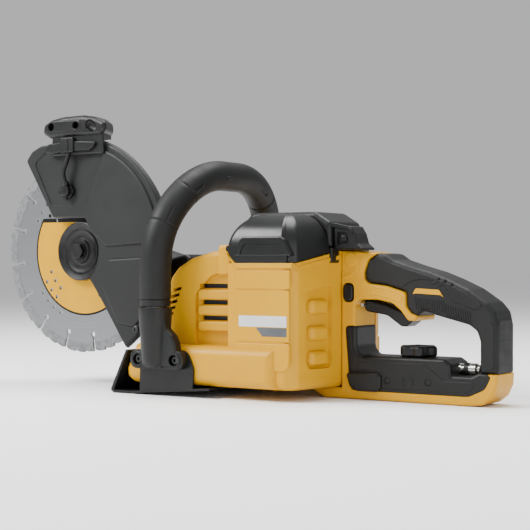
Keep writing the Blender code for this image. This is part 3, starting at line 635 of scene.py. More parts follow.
# Bent sheet steel, baked paint: smoother than the cast parts, with a shifting gloss
SKID = plastic("sheet_steel_black_painted", 0.38, 0.3, 1.5, ("101011", "161717"), 30, (2.0, 0.03),
        (0.32, 0.46))
DISC = blade_steel()
BOND = diamond_bond()
LABEL = printed_film("label_film_yellow_printed", "CA9400", "C89200", "CD9700")
INK = printed_film("label_film_black_printed", "0C0C0C", "0A0A0A", "0E0E0E")
OXIDE = black_oxide()
ZINC = bare_metal("steel_zinc_plated_turned", "A9ABAD", "C2C4C6", 0.25, 0.38)
DARK_SCREW = bare_metal("steel_screw_blackened", "37383A", "4A4B4D", 0.35, 0.5)
NICKEL = bare_metal("brass_nickel_plated_turned", "B9B7B0", "D2D0C9", 0.18, 0.3)
BRASS = bare_metal("brass_turned", "B58E4A", "C9A45C", 0.25, 0.4)
GEAR = bare_metal("gear_steel_ground", "6E7073", "84868A", 0.3, 0.45)
COPPER = bare_metal("copper_wound_varnished", "A2562C", "B8683A", 0.3, 0.45, 1.6)
PLATE = printed_film("plate_film_silver_printed", "C9CACB", "C4C6C7", "D0D1D2")
PLATE_DARK = printed_film("plate_film_grey_printed", "55585B", "505356", "5B5E61")

SLOT_OF = {BLACK: "black_plastic", DOME: "black_plastic", GRIP: "grip_rubber", YELLOW: "yellow_plastic",
        COAT: "cast_alloy", LABEL: "label_film", INK: "label_film", PLATE: "label_film",
        PLATE_DARK: "label_film"}


# ---------------------------------------------------------------- blade

# The core's slots: how many, the first one's angle and the keyholes' radius; the core's own radius
SLOTS = 16
SLOT_PHASE = 8.0
KEYHOLE_AT = 95.0
CORE_R = 105.0


def cooling_holes():
    """Groups of small holes, four round the disc, three rows each, shifted row by row."""
    holes = []
    for quarter in range(4):
        for radius, first, step, count in ((54.7, -154.5, 12.2, 3), (66.5, -148.0, 9.9, 3),
                (78.5, -142.6, 8.5, 4)):
            for k in range(count):
                angle = math.radians(first + step * k + 90 * quarter)
                centre = (radius * math.cos(angle), radius * math.sin(angle))
                holes.append(circle(*centre, 2.2, 14))
    return holes


def disc_outline():
    """The steel core's rim with its keyhole slots."""
    points = []
    step = 2 * math.pi / SLOTS
    for i in range(SLOTS):
        slot = math.radians(SLOT_PHASE) + step * i
        at_rim = math.asin(1.5 / CORE_R)
        for k in range(6):
            angle = slot - step + at_rim + (step - 2 * at_rim) * k / 5
            points.append((CORE_R * math.cos(angle), CORE_R * math.sin(angle)))
        centre = Vector((math.cos(slot), math.sin(slot))) * KEYHOLE_AT
        mouth = math.asin(0.9 / 3.0)
        for k in range(13):
            turn = slot - mouth - (2 * math.pi - 2 * mouth) * k / 12
            points.append((centre.x + 3.0 * math.cos(turn), centre.y + 3.0 * math.sin(turn)))
    return points


def segment_outline():
    """One diamond segment: its outer edge climbs in three worn steps."""
    start = SLOT_PHASE + math.degrees(math.asin(1.5 / BLADE_R))
    end = SLOT_PHASE + 360 / SLOTS - math.degrees(math.asin(1.5 / BLADE_R))
    points = arc(0, 0, CORE_R - 1.0, end, start, 6)
    span = end - start
    for k in range(3):
        low = start + span * k / 3
        high = start + span * (k + 1) / 3
        rise = [(0.0, 2.6), (0.18, 1.2), (0.45, 0.3), (0.86, 0.0), (0.98, 0.6)]
        for share, drop in rise:
            angle = math.radians(low + (high - low) * share)
            reach = BLADE_R - drop - (0.6 if k == 2 else 0.0)
            points.append((reach * math.cos(angle), reach * math.sin(angle)))
    return points


def chord_disc(radius, level):
    """A disc with its top cut off straight."""
    angle = math.degrees(math.asin(level / radius))
    return arc(0, 0, radius, 180 - angle, 360 + angle, 90)


def build_blade():
    """Disc, diamond segments, label, outer flange and bolt."""
    core = slab("Y", -1.1, 1.1, disc_outline(), circle(0, 0, 11.1, 48), *cooling_holes())
    make("blade_disc", core, DISC, "blade", ("diamond_blade",), slot="steel")
    rim = repeated(slab("Y", -1.3, 1.3, segment_outline()), SLOTS, BOND, turn=2 * math.pi / SLOTS)
    make("blade_segments", rim, BOND, "blade", slot="steel")
    inner_holes = [hole for hole in cooling_holes() if Vector(hole[0]).length < LABEL_R - 3]
    face = slab("Y", -1.5, -1.35, chord_disc(LABEL_R, 38.0), circle(0, 0, 14, 40), *inner_holes)
    make("label_border", face, INK, "blade", ("blade_label",))
    field = [hole for hole in inner_holes if hole[3][1] < 31]
    yellow = slab("Y", -1.68, -1.45, chord_disc(LABEL_R - 2.2, 33.5), circle(0, 0, 14, 40), *field)
    make("label_field", yellow, LABEL, "blade")
    dish = [(2.0, 5.6), (2.0, 33.0), (2.4, 33.4), (7.9, 33.4), (8.5, 33.0), (8.8, 32.3), (8.5, 31.4),
            (7.0, 27.4), (6.8, 25.7), (7.7, 25.0), (7.7, 24.2), (6.7, 23.2), (5.6, 20.3), (5.3, 16.6),
            (5.9, 14.4), (7.4, 13.2), (8.5, 12.8), (8.8, 12.0), (8.8, 5.6)]
    make("outer_flange_dish", turned((0, 0, 0), (0, -1, 0), dish, 96, True), OXIDE, "blade",
         ("outer_flange",), 24.0, "dark_steel")
    hexagon = rounded(circle(0, 0, 8.7, 6), 0.6, 2)
    washer = turned((0, 0, 0), (0, -1, 0), [(8.9, 5.2), (8.9, 9.8), (9.3, 10.2), (9.9, 9.9), (9.9, 5.2)],
            48, True)
    head = gathered(moulded("Y", -14.6, -9.7, hexagon, 0.7), washer, turned((0, 0, 0), (0, -1, 0),
            [(-20, 5.0), (9, 5.0)], 32))
    make("flange_bolt_head", head, OXIDE, "blade", ("flange_bolt",), slot="steel")


# ---------------------------------------------------------------- guard

# The guard's rim: where it starts and ends in degrees, and its section as (Y, radius)
GUARD_RIM = 129.2
RIM_LOW = -56.3
RIM_TOP = 109.0
RIM_SECTION = [(-14.8, 122.6), (-14.2, 123.9), (-13.2, 125.7), (-11.6, 127.4), (-9.6, 128.5),
        (-7.6, 128.2), (-4.0, 126.4), (0.0, 124.2), (4.0, 121.9), (8.0, 119.0), (9.6, 116.4), (14.9, 97.8),
        (16.0, 142.0), (-16.5, 142.0)]
# The ring outside the rim: where it starts and how far it runs in degrees, and its steps
WASTE_FROM = -68.0
WASTE_SPAN = 175.5
WASTE_STEPS = 88
# How much narrower the guard handle's cap gets towards the far side
CAP_TAPER = 0.42


def rim_waste():
    """What lies outside the guard's rounded rim: a ring that stops short of the front corner."""
    rings = []
    for k in range(WASTE_STEPS + 1):
        angle = math.radians(WASTE_FROM + WASTE_SPAN * k / WASTE_STEPS)
        rings.append([Vector((r * math.cos(angle), y, r * math.sin(angle))) for y, r in RIM_SECTION])
    return skin_rings(rings)


def guard_outline(near):
    """The guard's outline; the near half opens round the flange, the far one closes on it."""
    corners = arc(0, 0, GUARD_RIM, RIM_LOW, RIM_TOP, 80)
    radii = [0.0] * 81
    corners += [(-55, 121.4), (-69, 115.4), (-78, 105), (-36.5, 38.3)]
    radii += [3.0, 6.0, 5.0, 5.0]
    if near:
        inner = arc(-13, 0, 44.6, 52, -45, 22)
        corners += [(9.5, 38.0)] + inner + [(36, -55)]
        radii += [6.0] + [0.0] * 23 + [4.0]
    else:
        inner = arc(0, 0, 42, 135, 305, 24)
        corners += inner
        radii += [0.0] * 25
    return rounded(corners, radii, 4)


def large_panel():
    """The raised field behind the ridge."""
    return rounded([(42, 112.5), (18.5, 63), (10.5, 44), (20, 24), (44, 5.0),
            (119, 8.5)] + arc(0, 0, 119.6, 8, 66, 20), [8, 12, 8, 10, 6, 3] + [0] * 21, 4)


def lower_panel():
    """The raised field under the horizontal ridge."""
    return rounded([(47, -9.5), (119, -6.5)] + arc(0, 0, 119.5, -5, -40, 12) + [(83, -84), (61, -80), (38,
            -40)], [7, 3] + [0] * 13 + [5, 5, 8], 4)


def front_panel():
    """The sunk field round the spray nozzle."""
    return rounded([(-65, 102), (-39, 53), (-7, 50.5), (2, 60), (26, 111), (-20, 116), (-46, 115)],
            [6, 7, 7, 8, 5, 3, 6], 4)


def build_guard():
    """Both cast halves, the clamp band and the screws."""
    near = moulded("Y", GUARD_NEAR, -0.15, guard_outline(True), 1.8, 0.0, 4)
    core = moulded("Y", GUARD_NEAR + 2.5, 2.0, circle(0, 0, 121.4, 128), 2.0, 0.0, 3)
    sunk = moulded("Y", GUARD_NEAR - 4, GUARD_NEAR + 1.1, front_panel(), 0, 0.9, 3)
    near = cut(near, rim_waste(), core, sunk)
    fields = [moulded("Y", GUARD_NEAR - 2.4, GUARD_NEAR + 0.6, field(), 2.2, 0,
            4) for field in (large_panel, lower_panel)]
    near = gathered(near, *fields)
    make("guard_near_casting", near, COAT, "guard", ("guard_left_half",), 30)
    far = moulded("Y", 0.15, GUARD_FAR, guard_outline(False), 0.0, 1.8, 4)
    hollow = [(-1.0, 121.4), (6.5, 117.0), (GUARD_FAR - 2.5, 97.0)]
    far = cut(far, rim_waste(), turned((0, 0, 0), (0, 1, 0), hollow, 128))
    collar = turned((0, 0, 0), (0, 1, 0), [(13.5, 31), (18.4, 31), (19, 30.4)], 72)
    far = cut(weld(far, collar), turned((0, 0, 0), (0, 1, 0), [(4, 27.4), (30, 27.4)], 72))
    seed = moulded("Y", GUARD_FAR - 0.5, GUARD_FAR + 1.2, rounded([(44, -1.6), (94, -1.6), (94, 1.6),
            (44, 1.6)], 1.5, 3), 0, 0.7, 2)
    ribs = repeated(seed, 5, COAT, turn=math.radians(-24))
    make("guard_far_casting", gathered(far, ribs), COAT, "guard", ("guard_right_half",), 30)
    ring = [(14.8, 31.4), (14.8, 34.6), (15.4, 35.0), (18.6, 35.0), (19.2, 34.6), (19.2, 31.4)]
    ears = [moulded("Y", 15.0, 19.0, rounded(rect(-5 + s * 5, 5 + s * 5, 34, 43), 1.5, 3), 0.5, 0.5,
            2) for s in (-1.2, 1.2)]
    make("guard_clamp_band", gathered(turned((0, 0, 0), (0, 1, 0), ring, 72, True), *ears), ZINC,
         "guard", ("guard_clamp_ring",), slot="steel")
    for index in range(3):
        low, high = node_box("guard_screw_%d" % (index + 1))
        centre = (low + high) / 2
        head = socket_screw((centre.x, low.y + 1.6, centre.z), (0, -1, 0), 3.9, 1.6)
        make("guard_screw_head_%d" % (index + 1), head, DARK_SCREW, "guard",
             ("guard_screw_%d" % (index + 1),), slot="steel")


def socket_screw(seat, outward, radius, height):
    """A cap screw with a six-sided socket."""
    profile = [(-6, radius * 0.5), (0, radius * 0.5), (0, radius), (height * 0.75, radius),
            (height, radius * 0.86)]
    screw = turned(seat, outward, profile, 32)
    axis = Vector(outward).normalized()
    top = Vector(seat) + axis * (height * 0.35)
    key = turned(top, outward, [(0, radius * 0.5), (height * 2, radius * 0.5)], 6)
    return cut(screw, key)


def build_guard_fittings():
    """Guard handle with its hose saddle, clip, hose and spray nozzles."""
    low, high = node_box("guard_handle")
    crown = rounded([(-46, 134), (-45, 143), (-34, 149.5), (-16, 152.2), (14, 152.5), (34, 149.6),
            (48.5, 143.5), (49.6, 134), (40, 128.5), (-36, 128.5)], [5, 6, 8, 10, 10, 8, 6, 5, 5, 5], 4)
    cap = moulded("Y", low.y, high.y, crown, 6.0, 6.4, 5)
    saddle = turned((0, 0, 0), (0, 1, 0), [(GUARD_NEAR - 1.2, 129.6), (30, 129.6)], 180)
    neck = moulded("Y", low.y + 3, high.y - 4, rounded([(-35, 108), (46, 108), (44.5, 133), (-33, 133)], 3,
            3), 2.4, 2.4, 3)
    cap = weld(cap, neck)
    for vert in cap.verts:
        if vert.co.x > 0:
            vert.co.x *= 1 - CAP_TAPER * (vert.co.y - low.y) / (high.y - low.y)
    cap = cut(cap, saddle)
    scoop = pill((25.5, low.y - 1.4, 141), (30, low.y - 0.8, 138.5), 6.0)
    bar = moulded("Y", low.y - 0.6, low.y + 4, rounded([(-41, 135), (12, 134.6), (15, 141), (11, 147),
            (-32, 147.6), (-42, 143)], [4, 4, 5, 4, 5, 5], 4), 1.3, 0, 3)
    bores = [turned((x, low.y + 6, 141), (0, -1, 0), [(0, 4.4), (12, 4.4)], 32) for x in (-31, 6)]
    lip = turned((6, low.y - 0.5, 141), (0, -1, 0), [(0, 4.4), (0, 5.6), (0.5, 5.4), (0.8, 4.8),
            (0.6, 4.4)], 32, True)
    cap = cut(weld(cap, bar), scoop, *bores)
    make("guard_handle_cap", gathered(cap, lip), BLACK, "guard", ("guard_handle",), 34)
    low, high = node_box("hose_clip")
    strip = rounded([(-43, 113), (-30, 110.5), (-14, 112.5), (8, 112.5), (24, 112), (31, 116), (35, 121.5),
            (10, 123.4), (-12, 123.4), (-36, 122)], [2, 3, 2, 2, 3, 3, 1.5, 1, 1, 1.5], 4)
    shelf = moulded("Y", low.y + 2.0, high.y, strip, 1.5, 0.4, 3)
    bridge = moulded("Y", low.y, low.y + 6, rounded(rect(-17, 3, 111, 128), 2.5, 3), 1.4, 0, 3)
    rib = moulded("Y", low.y - 0.8, low.y + 3, rounded(rect(-10, -4, 111.6, 127), 1.5, 3), 0.9, 0, 2)
    make("hose_saddle", gathered(shelf, bridge, rib), BLACK, "guard", ("hose_clip",), 34)
    route = smooth_path([(-6, -19.2, 116), (-7, -20.4, 108), (-9.5, -21.4, 99), (-13.0, -21.6, 91),
            (-13.6, -20.6, 84), (-12.0, -19.6, 78), (-11, -18.6, 75)], 8)
    make("water_hose_run", swept(route, 2.5, 20), GRIP, "guard", ("water_hose",), 40)
    for word, sign, seat in (("left", -1, GUARD_NEAR), ("right", 1, GUARD_FAR)):
        base = seat + sign * 0.2
        nut = turned((-12, base, 68), (0, sign, 0), [(0, 8.4), (2.4, 8.4), (3.0, 7.8), (3.0, 6.2),
                (7.2, 5.8), (8.2, 4.6)], 36)
        barb = turned((-12, base + sign * 5, 68), (0, 0, 1), [(0, 4.2), (5, 4.2), (5.6, 3.5), (7.2, 4.1),
                (7.8, 3.5), (10.2, 3.9), (10.8, 3.3)], 28)
        elbow = moulded("Y", *sorted((base, base + sign * 5)), rounded(rect(-24, -12, 63, 71), 3, 4),
                1.4 if sign < 0 else 0, 0 if sign < 0 else 1.4, 3)
        tooth = moulded("Y", *sorted((base, base + sign * 4.4)), rounded(rect(-0.9, 0.9, 7.0, 9.4), 0.4, 2))
        fins = repeated(tooth, 6, BLACK, turn=math.radians(60))
        bmesh.ops.translate(fins, verts=fins.verts[:], vec=(-12, 0, 68))
        make("spray_head_" + word, gathered(nut, barb, elbow, fins), BLACK, "guard",
             ("spray_nozzle_" + word,), 34)


# ---------------------------------------------------------------- front handle and skid plate

# The grooves round the grip: how far along the bend in degrees, and half of one's width there
GROOVE_TURNS = (23.0, 50.0)
GROOVE_HALF = 0.8
# The way that the hoop's pockets face
POCKET_FACE = Vector((0.5519, -0.8339, 0.0))


def leaned(point):
    """The hoop's top leans back: the higher the point, the further it moves."""
    rise = max(0.0, point.z + 30.0) / 112.0
    return Vector((point.x + HOOP_LEAN * rise ** 2, point.y, point.z))


def hoop_point(turn_deg):
    """A point on the hoop's middle line: 180 is the near leg, 90 the top, 0 the far leg."""
    inset = HOOP_HALF - HOOP_BEND
    centre_y = MID_Y - inset if turn_deg > 90 else MID_Y + inset
    angle = math.radians(turn_deg)
    base = HOOP_TOP - HOOP_BEND
    return leaned(Vector((HOOP_X, centre_y + HOOP_BEND * math.cos(angle),
            base + HOOP_BEND * math.sin(angle))))


def hoop_half(side):
    """Half of the hoop from its foot to the top: (point, thickness), with grooves between fields."""
    leg_y = MID_Y + side * HOOP_HALF
    base = HOOP_TOP - HOOP_BEND
    run = [(HOOP_LOW, -1.2), (HOOP_LOW + 0.8, -0.4), (HOOP_LOW + 7.0, -0.4), (HOOP_LOW + 7.5, -1.0),
           (HOOP_LOW + 8.0, 0.0)]
    run += [(HOOP_LOW + 8 + (base - HOOP_LOW - 8) * k / 8, 0.0) for k in range(1, 9)]
    result = [(leaned(Vector((HOOP_X, leg_y, z))), change) for z, change in run]
    turns = [3.0 * k for k in range(1, 30)]
    for groove in GROOVE_TURNS:
        turns += [groove - GROOVE_HALF, groove, groove + GROOVE_HALF]
    for turn in sorted(turns):
        change = -0.75 if turn in GROOVE_TURNS else 0.0
        result.append((hoop_point(turn if side > 0 else 180 - turn), change))
    return result


def build_hoop():
    """The overmoulded hoop grip with its collars, parting grooves and finger pockets."""
    near = hoop_half(-1)
    far = hoop_half(1)
    top = [(leaned(Vector((HOOP_X, MID_Y + 15 * k / 4, HOOP_TOP))), 0.0) for k in range(-4, 5)]
    run = near + top + far[::-1]
    body = swept([point for point, change in run], [HOOP_R + change for point, change in run], 56)
    tools = []
    for turn, offset, depth in ((124, -9.5, 1.0), (64, 6.0, 1.0), (152, -3, 0.6), (28, -3, 0.6)):
        centre = hoop_point(turn)
        along = (hoop_point(turn - 2) - hoop_point(turn + 2)).normalized()
        if turn > 90:
            along = -along
        face = (POCKET_FACE - along * POCKET_FACE.dot(along)).normalized()
        out = face.cross(along).normalized()
        if out.z < 0:
            out = -out
        rise = math.sqrt(HOOP_R ** 2 - offset ** 2)
        seat = centre + out * offset + face * (rise + 2.9 - depth)
        half = 4.6 if depth > 0.8 else 12.0
        tools.append(pill(seat - along * half, seat + along * half, 2.9))
    body = cut(body, *tools)
    centre = hoop_point(93)
    boss = pill(centre + Vector((HOOP_R - 2.0, -5, -3)), centre + Vector((HOOP_R - 2.0, 5, -3)), 2.7)
    make("hoop_grip", gathered(body, boss), GRIP, "chassis", ("front_handle_grip",), 36)


def build_brackets():
    """Cast feet of the hoop: a round column, a flared web and a pad with two counterbores."""
    for word, side in SIDES:
        leg_y = MID_Y + side * HOOP_HALF
        face = across(side, -69.0)
        column = turned((HOOP_X, leg_y, 0), (0, 0, -1), [(59.4, 15.4), (59.4, 16.6), (61, 17.2),
                (72, 17.0), (90, 15.6), (112, 14.6), (118, 13.4), (121, 10.5)], 64)
        behind = moulded("Y", *sorted((across(side, -60.4), MID_Y)), rect(100, 210, -130, -91.5))
        column = cut(column, behind)
        web_outline = rounded([(150, -63), (167.5, -63), (169.5, -80), (178, -87.5), (182.5, -96),
                (183.5, -106), (183.5, -120), (138, -120), (138, -100), (150, -90)],
                [1, 2, 8, 8, 8, 3, 2, 2, 6, 6], 5)
        web = pulled(side, -70.6, -60.6, web_outline, 2.6, 4)
        foot = rounded([(122.5, -103), (191, -103), (191, -123), (122.5, -123)], 9.9, 8)
        pad = pulled(side, -69.0, -60.3, foot, 1.4, 3)
        rail = pulled(side, -71.2, -62, rounded([(141, -101), (163, -101), (166, -121.5), (139, -121.5)],
                3, 4), 1.6, 3)
        rims = []
        for x in FOOT_SCREWS_X:
            rims.append(turned((x, face, FOOT_SCREWS_Z), (0, side, 0), [(-1, 5.6), (-1, 8.4), (0.5, 8.2),
                    (0.9, 7.4), (0.7, 5.6)], 36, True))
        casting = cut(weld(column, web), *bores_for(side, face))
        pad = cut(pad, *bores_for(side, face))
        casting = gathered(casting, pad, rail, *rims)
        make("hoop_foot_" + word, casting, BLACK, "chassis", ("handle_bracket_" + word,), 32)
        for index, x in enumerate(FOOT_SCREWS_X):
            head = socket_screw((x, face - side * 4.6, FOOT_SCREWS_Z), (0, side, 0), 4.4, 3.0)
            make("hoop_foot_screw_%s_%d" % (word, index + 1), head, DARK_SCREW, "chassis",
                 ("bracket_screw_%s_%d" % (word, index + 1),), slot="steel")


def bores_for(side, face):
    """The two counterbores of a foot."""
    return [turned((x, face + side * 4, FOOT_SCREWS_Z), (0, -side, 0), [(0, 5.6), (9.6, 5.6)],
            32) for x in FOOT_SCREWS_X]


def build_skid():
    """Bent steel skid plate: sole, raked front wall and a flap up each side."""
    low = MID_Y - 101.0
    high = MID_Y + 101.0
    outer = [(218, -142.6), (198, -144.2), (114, GROUND), (92, GROUND), (88.5, -148), (109.6, -104.5)]
    inner = [(112.2, -105.2), (92.9, -147.8), (113.5, -148), (198, -141.6), (218, -140.1)]
    sheet = rounded(outer + inner, [0.5, 30, 30, 3, 3, 0.8, 0.8, 1.5, 30, 30, 0.5], 5)
    sole = moulded("Y", low, high, sheet, 0.4, 0.4, 2)
    flap = rounded([(128, -147.5), (197, -142.5), (198, -122), (190, -103), (129, -103)],
            [3, 3, 10, 12, 5], 5)
    parts = [sole]
    for side in (-1, 1):
        inner_y = MID_Y + side * 98.3
        outer_y = MID_Y + side * 100.9
        parts.append(moulded("Y", *sorted((inner_y, outer_y)), flap, 0.5, 0.5, 2))
        bend = [Vector((128.4, outer_y - side * 1.9, -147.2)), Vector((197, outer_y - side * 1.9, -142.2))]
        parts.append(swept(bend, 1.9, 20))
    make("skid_sheet", gathered(*parts), SKID, "chassis", ("skid_plate",), 32, "dark_steel")


# ---------------------------------------------------------------- casing

# The box's rear wall: a point on it, and how far it moves back per mm inwards
REAR_WALL_X = 311.4
REAR_WALL_Y = -42.0
REAR_WALL_SLOPE = 14 / 62


def across(side, near_y):
    """The Y of a near-side face, or its mirror on the far side."""
    return near_y if side < 0 else 2 * MID_Y - near_y


def pulled(side, near_a, near_b, outline, rim=0.0, steps=4):
    """A moulding pulled in Y on either side, with its outer rim rounded."""
    lo, hi = sorted((across(side, near_a), across(side, near_b)))
    if side < 0:
        return moulded("Y", lo, hi, outline, rim, 0.0, steps)
    return moulded("Y", lo, hi, outline, 0.0, rim, steps)


def box_plan():
    """The electronics box seen from above, near half."""
    return rounded([(232, BOX_NEAR), (301, BOX_NEAR), (312, BOX_NEAR + 9), (325, 20), (325, MID_Y),
            (232, MID_Y)], [5, 7, 7, 8, 0, 0], 5)


def motor_outline():
    """The motor section from the side: raked front, ledge and shoulder."""
    return rounded([(160, -18.5), (151, -29), (142, -60), (141, -78), (147, -86), (158, -94), (160, -104),
            (233, -104), (233, -1.6), (207, -1.6), (202, -2.4), (178, -8.4)], [5, 8, 10, 6, 6, 6, 1, 1, 1,
            8, 8, 10], 4)


def vent_frame():
    """The sunk field that holds the vent bars."""
    return rounded([(184, -97), (240, -97), (240, -24), (206, -24), (184, -46)], [4, 1, 1, 24, 14], 8)


def slanted_vent(index, corners):
    """The outline of one small vent on the raked front, from corners round its upper rear one."""
    x = 166.8 - 2.7 * index
    z = -38.0 - 6.6 * index
    return [(x + across_x, z + up) for across_x, up in corners]


def build_vent_shade_plates(word, side):
    """Black plates set behind the vents as painted shade, so the slots read as dark openings."""
    plates = [pulled(side, MOTOR_NEAR + 8, MOTOR_NEAR + 21.5, rounded(rect(190.1, 228.9, z - 2.2, z + 2.2),
            1.1, 3)) for z in SLOTS_Z]
    for k in range(SLANTED_VENTS):
        lip = slanted_vent(k, [(-0.2, -0.2), (-10.8, -2.9), (-11.1, -6.0), (-0.5, -3.3)])
        plates.append(pulled(side, MOTOR_NEAR + 6.5, MOTOR_NEAR + 13.5, lip))
    # black plates behind the slots: painted shade inside the vents
    make("vent_shade_plates_" + word, gathered(*plates), BLACK, "chassis", (), 30)


def motor_shell(side):
    """The motor section of one half, with its long slots and its small slanted vents."""
    motor = pulled(side, MOTOR_NEAR, SEAM, motor_outline(), 6.0, 6)
    motor = cut(motor, pulled(side, MOTOR_NEAR - 5, MOTOR_NEAR + 5.5, vent_frame()))
    tools = [pulled(side, MOTOR_NEAR - 2, MOTOR_NEAR + 22, rounded(rect(190, 229, z - 2.3, z + 2.3), 1.2,
            3)) for z in SLOTS_Z]
    for k in range(SLANTED_VENTS):
        lip = rounded(slanted_vent(k, [(0, 0), (-11, -2.8), (-11.4, -6.2), (-0.4, -3.4)]), 0.6, 2)
        tools.append(pulled(side, MOTOR_NEAR - 4, MOTOR_NEAR + 14, lip))
    return cut(motor, *tools)


def box_shell(side):
    """The electronics box of one half: its bottom edge is rounded in."""
    plan = box_plan()
    rings = []
    for rise, inset in ((0, 6.0), (1.2, 3.2), (3.4, 1.3), (6.5, 0.3), (9, 0.0), (BOX_TOP - TUB_LOW, 0.0)):
        shape = grown(plan, -inset) if inset else plan
        rings.append([Vector((x, across(side, y), TUB_LOW + rise)) for x, y in shape])
    return skin_rings(rings)


def casing_half(side):
    """The shells of one clamshell half, apart from the box."""
    tub = rounded([(114.6, -103), (104.6, -124), (106, -134), (114, -139.2), (292, -139.2), (292, -98),
            (116.5, -98)], [4, 8, 8, 10, 1, 1, 4], 6)
    tub = pulled(side, TUB_NEAR, SEAM, tub, 11.0, 8)
    seed = pulled(side, MOTOR_NEAR - 0.4, MOTOR_NEAR + 7, rounded(rect(187, 240, -51.4, -40.6),
            [5, 0.5, 0.5, 5], 6), 2.6, 4)
    bars = repeated(seed, 3, YELLOW, move=(0, 0, -16.3))
    shoulder = rounded([(158, -21), (176, -9.4), (200, -3.4), (226, -2.6), (226, -14), (180, -20)], 3, 4)
    ledge = pulled(side, MOTOR_NEAR + 3, SEAM, shoulder, 1.5, 3)
    fin = pulled(side, BOX_NEAR + 5, SEAM, rounded(rect(217.5, 234, -26, 4.6), [1, 1, 3, 4], 5), 3.2, 4)
    return tub, motor_shell(side), bars, ledge, fin


def raked(bm, side):
    """Lean a piece drawn across X on to the box's raked rear wall."""
    for vert in bm.verts:
        near_y = vert.co.y if side < 0 else 2 * MID_Y - vert.co.y
        vert.co.x += REAR_WALL_X + (near_y - REAR_WALL_Y) * REAR_WALL_SLOPE
    bmesh.ops.recalc_face_normals(bm, faces=bm.faces[:])
    return bm


def box_face(side):
    """Raised fields on the box's flat side and the lip under the cover."""
    upper = rounded([(243.5, -21), (243.5, -39.5), (308, -39.5), (308, -21)], [1.5, 1.5, 3, 1.5], 4)
    middle = rounded(rect(244.5, 307, -91.5, -40.8), 1.2, 3)
    lower = rounded([(243.5, -93), (243.5, -120.5), (308, -120.5), (308, -93)], [2, 12, 12, 2], 6)
    parts = [pulled(side, BOX_NEAR - 1.0, BOX_NEAR + 2, upper, 0.9, 3), pulled(side, BOX_NEAR - 0.45,
            BOX_NEAR + 2, middle, 0.4, 2), pulled(side, BOX_NEAR - 1.8, BOX_NEAR + 2, lower, 1.5, 4)]
    lip = [(232.6, -2.0), (236.5, -10), (243.5, -19), (311, -19), (311, BOX_TOP + 0.2),
            (243, BOX_TOP + 0.2), (236, -6), (234, -2.0)]
    parts.append(pulled(side, BOX_NEAR - 1.5, BOX_NEAR + 2, rounded(lip, 0.8, 2), 0.8, 3))
    return parts


def rear_wall(side):
    """What sits on the box's raked rear wall: three cushions, the rising lip and the corner crest."""
    parts = []
    for z in (-57.5, -83.5, -108.5):
        cushion = rounded([(-24, z - 7.6), (2.5, z - 7.6), (2.5, z + 7.6), (-24, z + 7.6)], 6, 6)
        parts.append(raked(cushion_shape(cushion, side), side))
    wall = [(-43, BOX_TOP - 8), (-43, BOX_TOP), (18, -1.6), (MID_Y, -1.2), (MID_Y, BOX_TOP - 8)]
    crest = moulded("X", -9, 0.0, [(across(side, y), z) for y, z in wall])
    parts.append(raked(crest, side))
    band = rounded([(-42, -21.5), (-42, -17.6), (18, -5.6), (18, -9.5)], 0.8, 2)
    parts.append(raked(moulded("X", -3, 1.2, [(across(side, y), z) for y, z in band]), side))
    return parts


def cushion_shape(outline, side):
    """A low cushion: its rim curves up from the wall."""
    rings = []
    for i in range(7):
        turn = math.pi / 2 * i / 6
        inset = 5.2 * (1 - math.cos(turn))
        height = -5.0 + 6.6 * math.sin(turn)
        rings.append([Vector((height, across(side, y), z)) for y, z in grown(outline, -inset)])
    rings.insert(0, [Vector((-8.0, point.y, point.z)) for point in rings[0]])
    return skin_rings(rings)


def build_casing():
    """Both halves of the yellow casing with their plates and the black plates of painted shade behind the
    vents, and the gear drive's shroud.
    """
    for word, side in SIDES:
        # painted shade: black plates behind this half's vents
        build_vent_shade_plates(word, side)
        pocket = rounded([(-31, -43), (5, -35.5), (7, -38), (7, -114), (3, -119), (-26, -119),
                (-31, -113)], [5, 3, 3, 5, 5, 6, 6], 5)
        tool = moulded("X", -4.6, 6, [(across(side, y), z) for y, z in pocket])
        box = cut(box_shell(side), raked(tool, side))
        shell = gathered(*casing_half(side), box, *box_face(side), *rear_wall(side))
        make("casing_" + word, shell, YELLOW, "chassis", ("housing_" + word,), 34)
        plate = rounded(rect(247.6, 304.4, -77, -66), 1.0, 3)
        make("side_plate_" + word, pulled(side, BOX_NEAR - 0.75, BOX_NEAR + 0.5, plate, 0.2, 1), PLATE,
             "chassis")
        chevron = rounded([(268, -77.6), (304.4, -77.6), (304.4, -86.4), (276, -86.4)], 0.8, 2)
        make("side_chevron_" + word, pulled(side, BOX_NEAR - 0.75, BOX_NEAR + 0.5, chevron, 0.2, 1),
             PLATE_DARK, "chassis")
    cheek = rounded([(97, -20), (112, -7), (130, -3.5), (135.5, -8), (135.5, -74), (122, -78), (99, -66)],
            [8, 8, 6, 3, 4, 8, 10], 5)
    block = moulded("Y", 17, 65, cheek, 5.0, 5.0, 5)
    holes = [turned((104 + 9.5 * k, 22 + 1.0 * k, -13 + 3.6 * k), (-0.2, -0.5, 1.0),
            [(-3, 2.9), (12, 2.9)], 20) for k in range(3)]
    make("drive_shroud", cut(block, *holes), BLACK, "chassis", (), 32)


# ---------------------------------------------------------------- cover and battery

